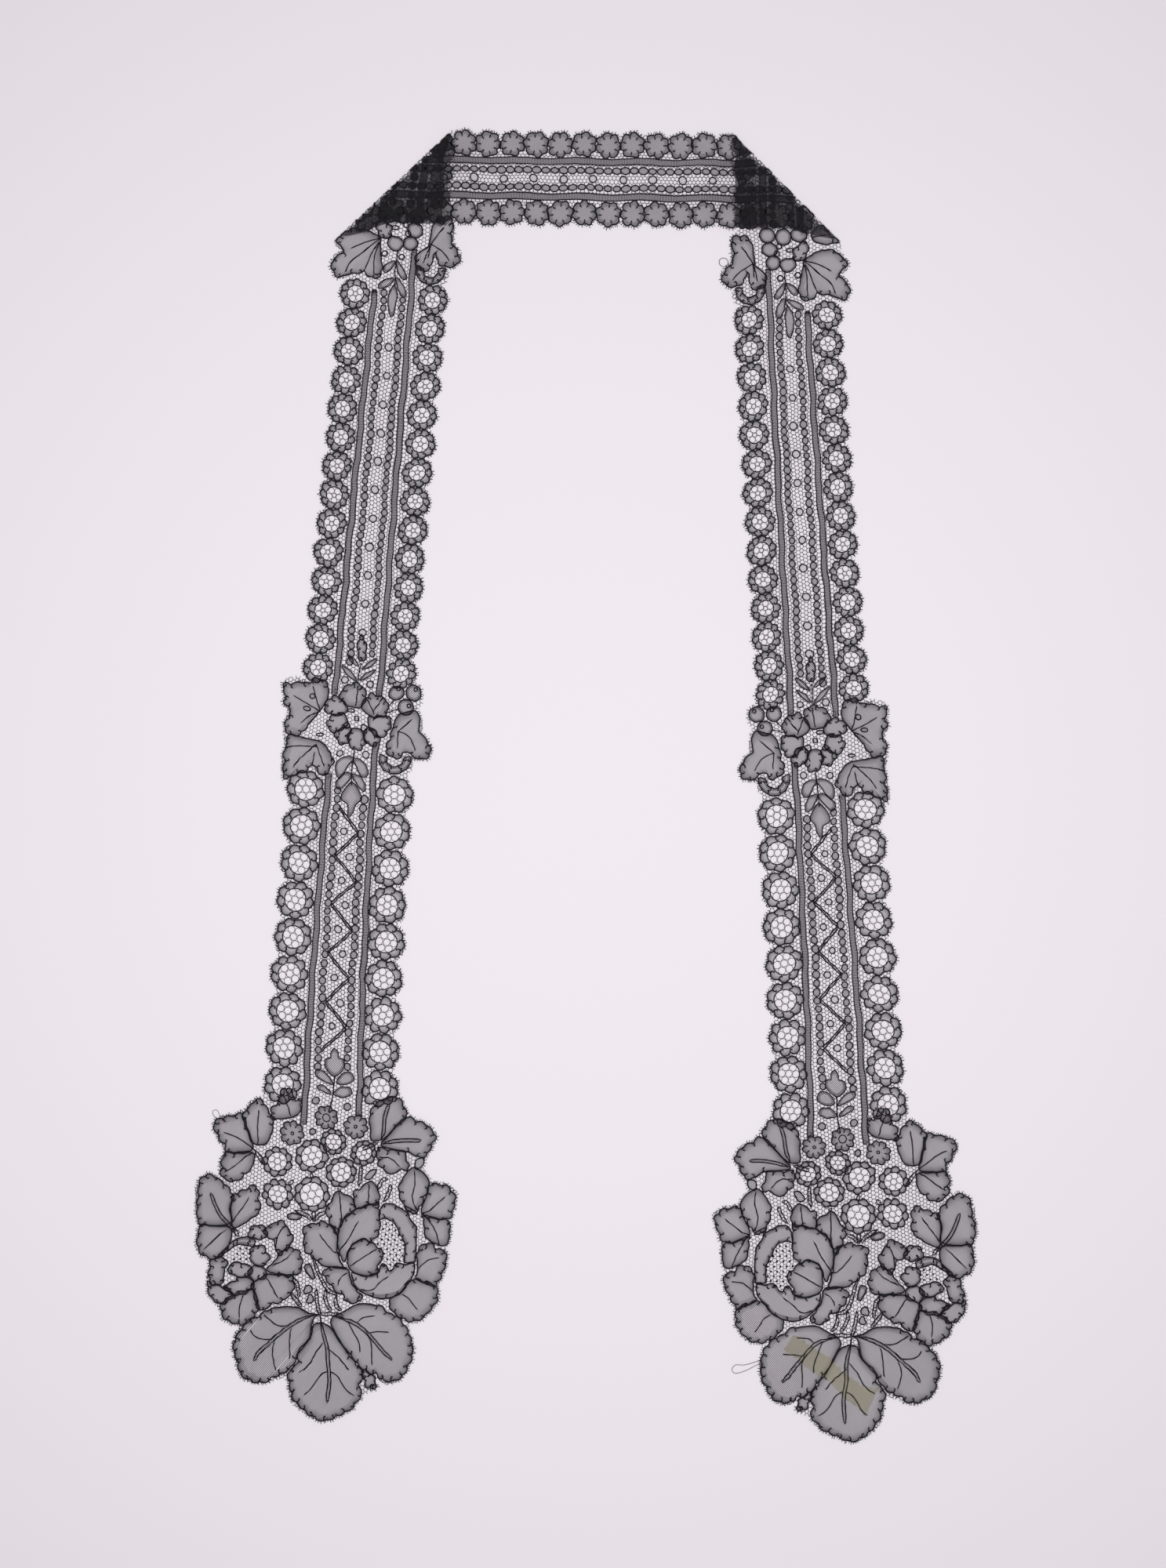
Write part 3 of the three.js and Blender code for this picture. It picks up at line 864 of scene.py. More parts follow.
SIDE_LEAVES = [
    ([(-25, 104.5), (-22.5, 107), (-21.5, 111), (-21.5, 114.5), (-24.5, 119.5), (-26.5, 121.5),
      (-29, 120.5), (-31, 118), (-32.5, 116.5), (-32.5, 113.5), (-31, 109), (-29.5, 105)],
     [[(-27, 117.5), (-27.2, 104)]], []),
    ([(-33, 116), (-36, 115.2), (-40, 114.5), (-43, 113), (-44, 110.8), (-42.5, 108.5),
      (-41.5, 106), (-39.5, 104.2), (-39, 101.5), (-34, 101.5), (-29, 102.5), (-30, 107),
      (-31.5, 112)],
     [[(-40, 109), (-36, 107.5), (-32, 105), (-28, 102.3)]], []),
    ([(-39, 101), (-40.5, 98.5), (-40, 96), (-40.5, 94), (-39.5, 92), (-37, 90.5), (-34, 90.5),
      (-31.5, 92.5), (-29, 95.5), (-28, 98.5), (-28.5, 101.5), (-33, 101)],
     [[(-28.5, 101.5), (-32, 99.5), (-36, 96), (-39, 94)]], []),
    ([(-48, 74), (-49, 77.5), (-49.3, 80.5), (-48.5, 87), (-48, 90.5), (-46, 92.5), (-43, 92.3),
      (-41, 91), (-38, 88.5), (-35.5, 85), (-36.8, 80), (-36, 75), (-41, 73.5)],
     [], [[(-34.5, 71.5), (-39.5, 76.5), (-41.5, 79.5), (-43, 83), (-43.8, 85.5)]]),
    ([(-35.5, 85), (-33, 86.5), (-30, 87.5), (-28.5, 88.8), (-26.5, 88.5), (-25.5, 86.5),
      (-25.8, 84), (-25.2, 80.5), (-26, 78.5), (-29, 75.8), (-32, 74), (-35.5, 73), (-36.3, 79)],
     [[(-29.5, 84.5), (-31.5, 81), (-34, 77.5), (-35.8, 75)]], []),
    ([(-48, 73.5), (-48, 72), (-48.7, 69), (-48.3, 66), (-47, 63), (-44, 61.5), (-41, 61),
      (-38.5, 63), (-36.5, 66.5), (-35.5, 69.5), (-36.5, 73), (-42, 73.3)],
     [[(-45.8, 64.5), (-42, 68.5), (-38, 72)]], []),
    ([(16.5, 108), (16, 112), (15.5, 116.5), (17, 121), (19, 123), (24, 125), (27, 124),
      (28.5, 121.5), (29.5, 118), (25, 113), (21, 108.5)],
     [], [[(20, 108), (21, 112), (21.5, 117), (22.5, 122)]]),
    ([(30, 118), (33, 116.5), (37, 115), (40, 112), (41, 110.5), (39.5, 107.5), (38.5, 104.5),
      (36.5, 102.5), (34, 102.5), (32, 104), (28, 104.8), (24, 105), (20, 106), (22, 109),
      (25.5, 113.5)],
     [], [[(20.5, 106.5), (25, 108), (30, 108.8), (35.5, 109)]]),
    ([(20, 105), (23, 104.5), (27, 104.7), (29.5, 104), (30, 101), (31.5, 99), (30, 97),
      (28, 97.5), (26, 95.7), (23.5, 95.5), (21, 97.5), (19, 99.5), (18.5, 104.5)],
     [[(19.5, 101.5), (24, 101.5), (27.5, 98.5)]], []),
    ([(33.5, 101), (34, 97.5), (36.5, 99.5), (36, 102)], [], []),
    ([(33, 80.5), (30, 83.5), (28.5, 87), (28, 91), (29.5, 95), (31.5, 97.5), (33.5, 98.5),
      (36, 97), (38, 95.5), (39.5, 92.5), (39, 90), (37.5, 86.5), (36, 83)],
     [[(34.5, 82), (33.2, 87), (33.8, 92), (33.5, 97)]], []),
    ([(40, 92), (43, 91.5), (46, 91.5), (48.5, 89.5), (49.8, 87.5), (49, 84.5), (48.3, 82),
      (47.5, 79), (44, 78.5), (40, 79.5), (36.5, 81), (38, 86)],
     [[(45.5, 87.3), (42.5, 84.5), (40, 82), (37, 80.7)]], []),
    ([(47, 78), (47.3, 75), (47.3, 71.5), (46.5, 68.5), (44, 68.5), (41.5, 69.5), (39.5, 70.5),
      (38, 73), (37.5, 77), (36.5, 80), (41, 78.6)],
     [[(38, 79.5), (40.5, 76), (42.5, 72.5), (44, 68.5)]], []),
    ([(-21.5, 114.5), (-22, 117), (-21.5, 119.5), (-19.5, 121), (-19.5, 124), (-18, 126.5),
      (-15, 126), (-13.8, 123), (-13.4, 121.5), (-12.3, 123), (-11.1, 122.6), (-11, 120.5),
      (-11.2, 117.5), (-14, 115.5)],
     [[(-14.5, 116), (-16, 120), (-18, 124)]], []),
]

ROSE = [
    ([(4, 72), (2, 75), (0.5, 78.5), (0, 81.5), (2, 83.5), (3, 87), (5, 88.5), (7, 87), (10, 86),
      (11, 81.5), (8.5, 79.5), (6.3, 76.5)],
     [[(5, 88), (5.5, 83), (6.3, 77)]], []),
    ([(11.5, 81.8), (10.8, 85.5), (11, 88.5), (13, 89), (14.5, 91), (17, 92), (19, 90.5),
      (20.5, 86), (20, 83.8), (15, 82.8)],
     [[(16.3, 91), (16.5, 83.5)]], []),
    ([(-8, 70), (-8.5, 72.5), (-7.5, 74.5), (-4.5, 74.8), (-2, 76), (1, 75.5), (3.5, 73.5), (5, 70),
      (5.2, 65.5), (7, 60), (8.5, 58.5), (4, 59), (0, 59.5), (-3, 61.5), (-6, 63.5), (-7.8, 66.5)],
     [[(-2, 71.2), (1.5, 67), (4, 64.8), (5.8, 64.8)]], []),
    ([(20, 83.8), (15, 82.8), (10, 80.5), (6.5, 77.5), (5, 73.5), (5, 69), (6, 65), (8, 61),
      (9.5, 66), (12, 69), (15, 70), (17.5, 69.2), (19, 70), (20.5, 72.5), (20.5, 75.5),
      (20.5, 80)],
     [[(12.5, 77), (10, 72), (7.5, 67.5), (6, 65.5)]], []),
    ([(9.5, 59), (9.2, 62.5), (10, 66.5), (12, 69), (15, 70), (17.5, 68.8), (20.5, 67), (22.3, 65),
      (22.5, 62.5), (21, 61), (21, 58.5), (19, 56.5), (15, 56), (11.5, 57)],
     [[(10, 59.5), (14, 62), (17.5, 64.5), (20, 66)]], []),
    ([(9, 58.5), (6, 59.3), (2, 58.8), (0, 57), (0.5, 54.5), (3, 51.5), (5, 49.5), (8, 48.5),
      (8, 46.5), (11, 45.5), (14, 46), (14.5, 48.5), (12, 51), (10.5, 54)],
     [[(9, 57), (6.5, 55), (5.3, 52)]], []),
    ([(36, 58), (36, 62), (35.5, 65.5), (37.5, 68.5), (41, 69), (43, 67), (46.5, 66), (46.8, 62),
      (45.5, 58.5), (44.5, 55.5), (42, 52.5), (38, 54), (35, 55.3)],
     [[(36.5, 59.3), (40, 62.5), (44, 63.3)]], []),
    ([(35, 55), (32, 54), (30, 50.5), (26, 48), (25, 46), (26.5, 43), (29.5, 40.5), (33, 39),
      (37, 39.5), (40, 42), (43, 46), (43.3, 50), (42, 53)],
     [[(30, 49.3), (32.5, 48), (34.5, 45), (36, 43.3)]], []),
]

ROSE_SWEEPS = [
    ([(20.3, 79.8), (22, 83.5), (25, 84), (28, 82.5), (31, 81), (32.5, 78), (34.5, 76), (35, 73),
      (35, 69), (35.1, 65), (35.2, 62)],
     [(20.5, 77.5), (23, 78), (26.5, 76.5), (28.5, 72.5), (30.5, 69), (31, 65), (31, 61.8)]),
    ([(10.5, 57), (11.5, 53), (14, 50), (18, 47.8), (22, 47), (26, 48), (30, 50.5), (33, 54.5),
      (34.8, 58.5), (35, 61.5)],
     [(10.8, 57.2), (15, 55.8), (19.5, 56.3), (21.5, 58), (22, 60.5), (24, 60), (25.5, 58),
      (28, 61.5), (31, 61), (34.8, 61.6)]),
]
ROSE_EXTRA_VEINS = [
    [(15, 50.3), (18.5, 50.3), (21.5, 53.5), (25, 56)],
    [(7.5, 59), (6.3, 61.5), (5.5, 64.8)],
]
ROSE_HEART = [(20.5, 77), (24.5, 77.5), (27.5, 74.5), (28.5, 72), (30.5, 68.5), (30.5, 63),
              (28.5, 61), (26.5, 58.5), (25.5, 60.5), (23, 61), (22.5, 64), (20, 67), (19.5, 69.5),
              (21, 72), (20.3, 75)]

SMALL_FLOWER = [
    ([(-29, 70), (-29, 72), (-27, 73.5), (-24.5, 73.8), (-22.5, 72.5), (-22.5, 70), (-24, 68.8),
      (-27, 69)], [], []),
    ([(-22.5, 70), (-22.5, 73), (-20, 74.5), (-18.5, 75.8), (-16, 75.5), (-15, 73), (-12.8, 70.5),
      (-13, 67.5), (-15, 65.5), (-17.5, 63.5), (-18.5, 66.5), (-19.5, 69)],
     [[(-16.5, 73.5), (-18, 70), (-18.5, 66)]], []),
    ([(-17.5, 62.5), (-14.5, 65.5), (-11, 65.3), (-9, 63), (-8.7, 59.5), (-10, 56.5), (-14, 55.5),
      (-19, 56.3), (-21.5, 57.5), (-19, 60)],
     [[(-19.5, 59), (-15, 61.5), (-12.5, 63.8)]], []),
    ([(-27, 65), (-24, 66), (-22, 64), (-21, 61.5), (-23, 59), (-26, 59), (-28, 61.5)], [], []),
    ([(-28.5, 56.5), (-26, 58.8), (-23, 57.5), (-22, 55.5), (-24, 53.5), (-27.5, 53.3)], [], []),
    ([(-36, 58), (-33.5, 59.5), (-30, 59), (-27.5, 57.5), (-28.5, 55), (-31, 54.5), (-35, 55.5)],
     [], []),
    ([(-38, 51), (-35.5, 52), (-33, 53.5), (-30, 54), (-27, 52.5), (-27.5, 50), (-30, 48.3),
      (-33.5, 47.5), (-36.5, 49)], [], []),
    ([(-42.5, 60.5), (-39, 61.5), (-37, 59), (-38.5, 56), (-38.5, 53.5), (-41, 51.5), (-43, 52),
      (-44, 54.5), (-43.3, 57.5)], [], []),
    ([(-44, 52), (-42, 51.2), (-38.5, 50.5), (-36, 49), (-35, 47), (-37, 45), (-39.5, 44.2),
      (-42, 46), (-43.5, 48)], [], []),
    ([(-38.5, 44), (-36, 46), (-33.5, 47.8), (-30, 48.5), (-27.2, 49), (-26, 46), (-25.2, 43),
      (-26, 40), (-28.5, 38), (-31, 36.5), (-34, 37.5), (-37, 39), (-38.5, 41.5)],
     [[(-31, 47), (-31.8, 43), (-31.7, 39)]], []),
    ([(-27, 51.5), (-24, 53.5), (-22, 55), (-17, 55.3), (-12.5, 55), (-12, 52), (-12.5, 49.5),
      (-14.5, 47.5), (-16, 45.8), (-20, 44.7), (-22.5, 42.3), (-25, 43.5), (-26, 47), (-27, 50)],
     [[(-22, 54), (-20, 51), (-17.5, 47)]], []),
]
SMALL_FLOWER_MIDDLE = (-26, 58)
SMALL_FLOWER_SWEEP = ([(-41, 61), (-37, 64), (-33, 66.5), (-29.5, 66), (-27, 65.5)],
                      [(-40, 63), (-37, 66), (-34, 68.5), (-30, 69.5), (-26.5, 68)])
SMALL_HEART = [(-35.5, 62), (-34, 65), (-31, 66), (-28, 65.5), (-27, 63), (-28, 61), (-29.5, 59.5),
               (-33, 59), (-35, 60)]

# Ring flowers of the end: centre, radius, hole.
END_RINGS = [
    ((-19.3, 98.6), 5.8, 3.6), ((-6.2, 101), 6.4, 4.0), ((1.9, 106.9), 4.9, 3.0),
    ((13.5, 103.1), 5.0, 3.0), ((5.4, 95.6), 5.9, 3.8), ((-18.4, 86.3), 6.0, 3.6),
    ((-5.3, 86.3), 6.9, 4.5),
]
END_FLOWERS = [((-14, 109.7), 4.7, 0.5), ((10.4, 113.1), 4.6, 0.5), ((-0.9, 115.9), 4.6, 1.5)]
END_DOTS = [((-6, 110.3), 1.3), ((6.7, 120.8), 1.4), ((-5.3, 122), 1.4), ((-12, 122), 1.9)]

STAIN_LINES = (
    [(21, 41.9), (17, 38.9), (13.6, 36), (9.2, 33.1), (5.8, 30.2), (2.4, 26.7), (-1.1, 23.8),
     (-5.7, 20.9), (-10.4, 20.3)],
    [(25.1, 36), (20.7, 33.1), (17.4, 29.6), (14, 26.7), (9.5, 23.8), (6, 20.3), (2.6, 16.8),
     (-2.1, 13.3), (-5.5, 9.8)],
)

END_STEMS = [
    [(19.5, 88.5), (21.5, 92.5), (23.5, 93.5)], [(22, 84.5), (24, 88), (25, 91.3)],
    [(-5, 80), (-4.5, 76)], [(-12, 80.5), (-8, 78.5), (-5.5, 76.5)], [(0, 80), (-3, 78), (-5, 76)],
    [(-2.8, 50.5), (-2.5, 46), (-1.3, 40.5)], [(0.5, 50.5), (1, 46), (3, 42.5)],
    [(4.5, 48.5), (5, 44.5), (7, 42.5)], [(-13, 49), (-11, 46.5), (-8.5, 43.5)],
    [(-12, 55), (-10, 52), (-9.5, 47)], [(-36.5, 73.5), (-33, 70)], [(-28, 102.3), (-24, 97)],
    [(-2, 40.5), (3, 41), (8, 40.5)], [(19, 107), (13, 104.5)], [(35, 80.5), (30, 83)],
    [(-6.2, 94.5), (-5.5, 92.5)], [(-12.5, 92), (-14, 90)], [(5.3, 89.5), (5, 88.5)],
]
END_DOUBLE_STEMS = [
    [(-4, 63), (-2.5, 58), (0, 52), (2.5, 49.5), (5, 48.8)], [(12.5, 90), (13, 98)],
]
END_BUDS = [
    [(-14.5, 78.8), (-12, 79.3), (-9, 77.8), (-11, 76.6), (-14, 77)],
    [(-7.5, 58.5), (-5, 54.5), (-3.5, 54.5), (-5, 59.5)],
    [(14.5, 93.5), (17, 96.5), (19, 96.5), (17, 93)],
    [(-7.5, 48.5), (-7, 51), (-5, 51.5), (-4.5, 49)], [(-6.5, 45), (-5.5, 48), (-3.8, 47), (-4.5, 45)],
]

END_SPRIG = [
    ([(1, 142.5), (2.5, 141), (2.5, 139), (4.5, 138.5), (4.8, 136), (3, 133.5), (1.3, 132), (-1, 133),
      (-2.8, 135.5), (-2.3, 138.3), (-0.5, 138.7), (-0.5, 140.5)], [], []),
    ([(-6, 131.5), (-5.5, 134), (-2.5, 133), (0, 130.5), (0.5, 128.5)], [], []),
    ([(2, 130), (4, 133.5), (7, 134), (8.3, 132), (7.5, 130), (4, 128.8)], [], []),
    ([(-5.5, 127), (-4, 128.5), (-1, 126.5), (0, 124.5)], [], []),
    ([(1, 125), (4, 128), (7.5, 127.5), (8, 125.5), (5, 124)], [], []),
]
END_SPRIG_STEM = [(1.2, 132), (1, 128), (0.5, 122), (0, 118)]

# ------------------------------------------------------------------ the bunch half way up

MIDDLE_FLOWER_MIDDLE = (0.2, 268.5)
MIDDLE_FLOWER = [
    ([(-3.5, 273.5), (-6, 276), (-5, 279.5), (-2, 281.5), (0.5, 281.5), (2.5, 280), (3.5, 277.5),
      (2.5, 275), (1.5, 273)], [[(0, 281), (0, 273.5)]], []),
    ([(-3.5, 272.5), (-7, 276), (-10, 275.5), (-12, 273), (-11.5, 271), (-9, 269.5), (-5, 270)],
     [], []),
    ([(-5, 270), (-8, 269.5), (-10.5, 267.5), (-10.5, 265), (-9, 263), (-7, 262.8), (-4.5, 264.5),
      (-3, 266)], [], []),
    ([(-4, 264.5), (-7.5, 262.5), (-6.5, 260), (-4.5, 258.5), (-2.5, 259), (-2, 261.5),
      (-1.5, 264.5)], [], []),
    ([(-1.5, 264), (-2.3, 260.5), (-0.5, 257.5), (1, 256.8), (3.5, 257.5), (4.3, 260), (3, 263),
      (1.5, 264.8)], [], []),
    ([(3.5, 264.5), (4.5, 260.5), (7, 259), (9.3, 259.8), (9.3, 262), (8, 264.5), (5.5, 265.8)],
     [], []),
    ([(5.5, 265.5), (8, 263), (10, 262.3), (12, 264), (13.2, 266.5), (13.3, 268.5), (12, 270.5),
      (8, 270), (5, 269.5)], [], []),
    ([(2.5, 272.5), (3, 276), (5.5, 278.8), (8, 278), (10, 277.5), (11.5, 276), (12, 273),
      (10.5, 271), (7, 270)], [[(4, 276.5), (7, 271)], [(10, 277.5), (6.5, 272)]], []),
]
MIDDLE_LEAVES = [
    ([(-13, 272), (-11, 276), (-11, 279), (-11.5, 281.3), (-14, 282.8), (-16, 283), (-18, 282),
      (-18.5, 280.5), (-21, 281), (-25, 279.8), (-28, 279.5), (-28, 277), (-27, 275), (-28, 273),
      (-26, 270.5), (-25, 269), (-26, 266), (-27, 263.5), (-25.5, 261), (-22, 260.5),
      (-19.5, 262.5), (-18, 265.5), (-15.5, 268.5)],
     [[(-13.5, 270.5), (-15.5, 275), (-17, 280)], [(-13.5, 270.5), (-19, 273), (-24, 275.5)],
      [(-13.5, 270.5), (-18, 268.5), (-21, 265.5)]], []),
    ([(-13, 259), (-10, 257), (-7.5, 253.5), (-6.8, 250.5), (-8.5, 249), (-9.5, 246), (-12, 247),
      (-14, 250), (-15, 250), (-17, 247.5), (-19, 246.5), (-22, 245.5), (-25, 243.5), (-26, 246.5),
      (-25.5, 250), (-26, 254), (-25, 256.5), (-26, 259), (-24, 260.5), (-20, 260)],
     [[(-14, 258), (-19, 253), (-22, 248.5)], [(-14, 258), (-12, 253.5), (-10.5, 249.5)],
      [(-14, 257), (-21, 256.5), (-25, 255.5)], [(-14.5, 255), (-15, 250)]], []),
    ([(15, 269.5), (16.5, 271.5), (20, 272.8), (22.8, 273.5), (24.6, 271), (24.4, 268),
      (24.2, 265.8), (26.3, 264), (28.3, 261.5), (29.6, 258.5), (28.8, 256), (25.5, 255.2),
      (22.5, 256.4), (20.4, 258), (18.8, 256), (17, 254.5), (15, 255.5), (13.2, 256.5), (12.4, 259),
      (13.6, 262)],
     [[(16.5, 265), (19, 267.5), (21.5, 270)], [(16.5, 265), (21, 263), (24, 258.5)],
      [(16.5, 265), (16.8, 258.5)]], []),
    ([(-0.3, 300.5), (1.6, 297), (1.7, 293.5), (0.4, 290), (-1.4, 293.5), (-1.4, 297)], [], []),
]
MIDDLE_SPRIG = [
    ([(0.3, 253), (-3, 253), (-5.5, 250.5), (-5.5, 247.5), (-4, 246), (-1.5, 250)], [], []),
    ([(0.8, 253), (4, 252.5), (6, 250), (6, 247.5), (4, 247.5), (2.5, 250)], [], []),
    ([(0, 247), (-3, 247), (-5.3, 243.5), (-4, 241.5), (-2, 243.5)], [], []),
    ([(1, 247), (4, 246.5), (5.5, 243.5), (5, 241.5), (3, 243)], [], []),
    ([(0.5, 243.5), (3, 240.5), (4, 238), (2.5, 236.5), (1.5, 233.5), (0, 232), (-0.3, 235.5),
      (-1.5, 236.5), (-2.8, 237.5), (-2, 240.5)], [], []),
]
MIDDLE_DISCS = [((15, 279.5), 2.8, (15.5, 281.2)), ((21.5, 280), 3.0, (22.3, 281.3)),
                ((19, 274.3), 2.9, (20.2, 275))]
MIDDLE_STEMS = [[(12, 274), (14.5, 276.5)], [(12, 272), (16, 273.5)], [(0.5, 256.5), (0.3, 243)],
                [(0, 282), (0.1, 290)]]
SLENDER_WIDTH = 0.24             # width of a slender leaf as a share of its length
SLENDER_LEAVES = [((-0.5, 282.5), (-7, 288.5)), ((0.5, 283), (6, 288)),
                  ((-0.5, 288.5), (-5.5, 292.5)), ((0.8, 287.5), (6.5, 292.5))]
MIDDLE_EYELETS = [((-2, 271.5), 1.5, 0.7), ((-3.3, 265.5), 1.1, 1.1), ((3.2, 265.5), 1.2, 1.2),
                  ((-17, 276), 1.0, 1.0), ((-18.8, 271), 1.4, 0.8), ((-13.3, 261.5), 1.3, 0.6),
                  ((0.2, 268.5), 0.9, 0.9)]
MIDDLE_DOTS = [(-5.2, 282.8), (4.8, 282.2), (-4.7, 254.8), (5.2, 255.3)]

# ------------------------------------------------------------------ the bunch under the fold

TOP_LEAVES = [
    ([(-8, 452), (-13, 454.5), (-19, 454.5), (-21, 452.5), (-24, 450), (-22.5, 447.5),
      (-20.5, 446.5), (-21, 445), (-22.5, 443), (-24.5, 440.5), (-24, 437.5), (-21.5, 435.5),
      (-19, 437), (-17, 437.5), (-14.5, 438), (-12, 438.5), (-10, 437), (-7.5, 436), (-5.5, 438),
      (-5.2, 441), (-6, 445), (-7.2, 450)],
     [[(-7.5, 451.5), (-12, 450), (-18, 447)], [(-7.5, 451.5), (-12, 447), (-17, 442.5), (-19, 438)],
      [(-7.8, 450), (-10, 445), (-12, 439)], [(-7.5, 450), (-8.5, 444), (-8.3, 438)]], []),
    ([(11.5, 452.5), (12, 456), (13, 460), (15, 462), (19.5, 461.5), (19.5, 457), (20, 452.5),
      (22.5, 449.5), (24, 446), (22.5, 444), (19.5, 443), (16, 444.5), (14, 448.5), (13.5, 443),
      (12, 441.5), (10, 441), (7.3, 443), (7, 445.5), (8.5, 448), (11, 450)],
     [[(12, 451.3), (16.5, 458)], [(12, 451.3), (17, 448.5), (20, 445.5)], [(12, 451.3), (12, 446)],
      [(12, 451.3), (10.5, 444)]], []),
    ([(-9, 456), (-8.5, 458.5), (-5, 457.5), (-3, 455), (-3.5, 452.5), (-6, 451.5), (-8.5, 453.5)],
     [], []),
    ([(-4.5, 450), (-3.5, 452.5), (0, 452.5), (2, 451), (1, 448.5), (-1, 447.3), (-3.5, 448.5)],
     [], []),
    (circle((4.5, 451), 2.7, 2.6, 8), [], []), (circle((5.6, 456.2), 3.0, 2.8, 8), [], []),
    (circle((-6, 461.5), 3.0, 2.8, 8), [], []), (circle((0, 461), 3.0, 3.0, 8), [], []),
    (circle((6.3, 461.6), 3.0, 2.8, 8), [], []),
    ([(-21, 459), (-17, 457), (-12, 458), (-10.5, 461), (-14, 464.5), (-19, 463.5)],
     [[(-11, 460), (-18, 461)]], []),
]
TOP_SPRIG = [
    ([(-0.5, 443.5), (-3.5, 442), (-4.8, 439.5), (-3.5, 438.5), (-1, 441)], [], []),
    ([(0.3, 443.5), (2.5, 441.5), (4.5, 438.5), (4, 437), (2, 438), (0.5, 441)], [], []),
    ([(-0.5, 437), (-4, 436), (-6, 434), (-5.8, 432.5), (-3, 433.5), (-1, 435.5)], [], []),
    ([(0.3, 437.5), (2.5, 436), (4.2, 433), (4.2, 430), (2.5, 431), (1, 433.5)], [], []),
    ([(-0.3, 434.5), (1.3, 431), (1, 427), (0.2, 422.7), (-0.8, 422.5), (-2, 426), (-2, 430.5),
      (-1, 433.5)], [], []),
]
TOP_STEM = [(0, 448), (0, 434)]
TOP_EYELETS = [((-2, 456), 1.3, 0.8), ((2, 457.5), 1.0, 1.0), ((3, 454.5), 1.0, 1.0),
               ((-4.8, 446), 1.1, 1.1), ((1.7, 445.3), 1.1, 1.1)]

# ------------------------------------------------------------------ borders, tapes and beads

LOWER_RINGS = {"first": 127.8, "pitch": 14.1, "count": 9, "across": 18.6, "taper": -0.2,
               "radius": 7.2, "hole": 4.2, "petals": 9, "cells": 6}
UPPER_RINGS = {"first": 287.0, "pitch": 11.0, "count": 14, "across": 15.9, "taper": -0.08,
               "radius": 5.7, "hole": 3.1, "petals": 10, "cells": 5}
HALF_RINGS = [((16.5, 254.5), 6.0, 3.2), ((13.5, 441.5), 5.6, 3.0)]
LOWER_BARS = [[(-8.6, 247), (-8.6, 240), (-9.3, 165), (-9.6, 113)],
              [(8.6, 260), (8.7, 240), (10.2, 165), (11.3, 117)]]
UPPER_BARS = [[(-8.6, 277), (-8.5, 290), (-8.2, 335), (-7.6, 425), (-7.5, 431)],
              [(8.5, 278), (8.4, 290), (7.9, 335), (6.5, 440), (6.4, 448.5)]]
ZIGZAG_FOOT = 141.5
ZIGZAG_RISE = 9.3
ZIGZAG_TURNS = 11
ZIGZAG_ENDS = (-4.0, 4.8)        # across at even and odd turns
ZIGZAG_GAP = 0.55                # half the gap between its two cords
ZIGZAG_DOTS = (1.6, -0.8)        # across of the dot beside each turn
ZIGZAG_DOT = 1.35
FOLD_FLOWER_PITCH = 9.2

END_LOBES = [
    [((10.5, 4.5), (15.5, 10.5)), ((20.8, 12.2), (20.0, 16.0)), ((28.0, 15.0), (32.5, 22.0)),
     ((35.2, 28.0), (31.5, 38.0)), ((41.8, 44.5), (42.0, 53.5)), ((47.2, 61.0), (46.3, 69.0)),
     ((48.3, 74.5), (46.8, 80.0)), ((49.6, 90.0), (38.0, 93.5)), ((36.2, 97.0), (35.2, 100.5)),
     ((41.0, 110.3), (33.5, 116.3)), ((30.0, 119.3), (26.0, 121.5))],
    [((-10.2, 5.5), (-13.5, 17.5)), ((-26.0, 14.0), (-32.5, 22.0)), ((-34.4, 29.0), (-31.5, 36.5)),
     ((-38.3, 40.5), (-39.0, 45.5)), ((-44.6, 51.5), (-42.5, 60.5)), ((-49.0, 66.5), (-47.6, 73.5)),
     ((-50.0, 87.5), (-40.5, 92.0)), ((-41.5, 97.0), (-40.0, 102.0)),
     ((-43.6, 112.3), (-33.5, 116.0)), ((-30.6, 120.5), (-25.5, 122.3))],
]
MIDDLE_LOBES = [
    [((23.2, 251.5), (22.0, 254.0)), ((30.2, 258.0), (25.0, 265.0)), ((25.8, 269.0), (22.3, 273.0)),
     ((25.4, 278.5), (20.5, 282.0))],
    [((-26.6, 247.0), (-25.2, 256.0)), ((-27.6, 262.0), (-25.4, 269.0)),
     ((-28.3, 272.0), (-27.0, 275.5)), ((-27.5, 281.3), (-20.5, 282.3))],
]
TOP_LOBES = [
    [((20.5, 439.5), (19.5, 443.0)), ((24.6, 447.5), (20.5, 453.0)), ((20.9, 457.5), (19.5, 462.0))],
    [((-25.0, 439.5), (-21.8, 446.0)), ((-25.0, 449.5), (-21.0, 454.5)),
     ((-22.0, 460.0), (-19.5, 463.5))],
]
UNDER_BAND = [(16.5, 465), (16.5, 530)]
UNDER_BAND_END = 500             # how far up the strip is drawn beyond the fold
UNDER_BAND_BAR = 7.0
BORDER_FLOWER = {"across": 13.6, "first": 469.0, "radius": 4.5}
LAPPET_BAR = 2.1                 # width of the tapes of a hanging end
BAND_BAR = 2.4                   # width of the tapes of the neck band

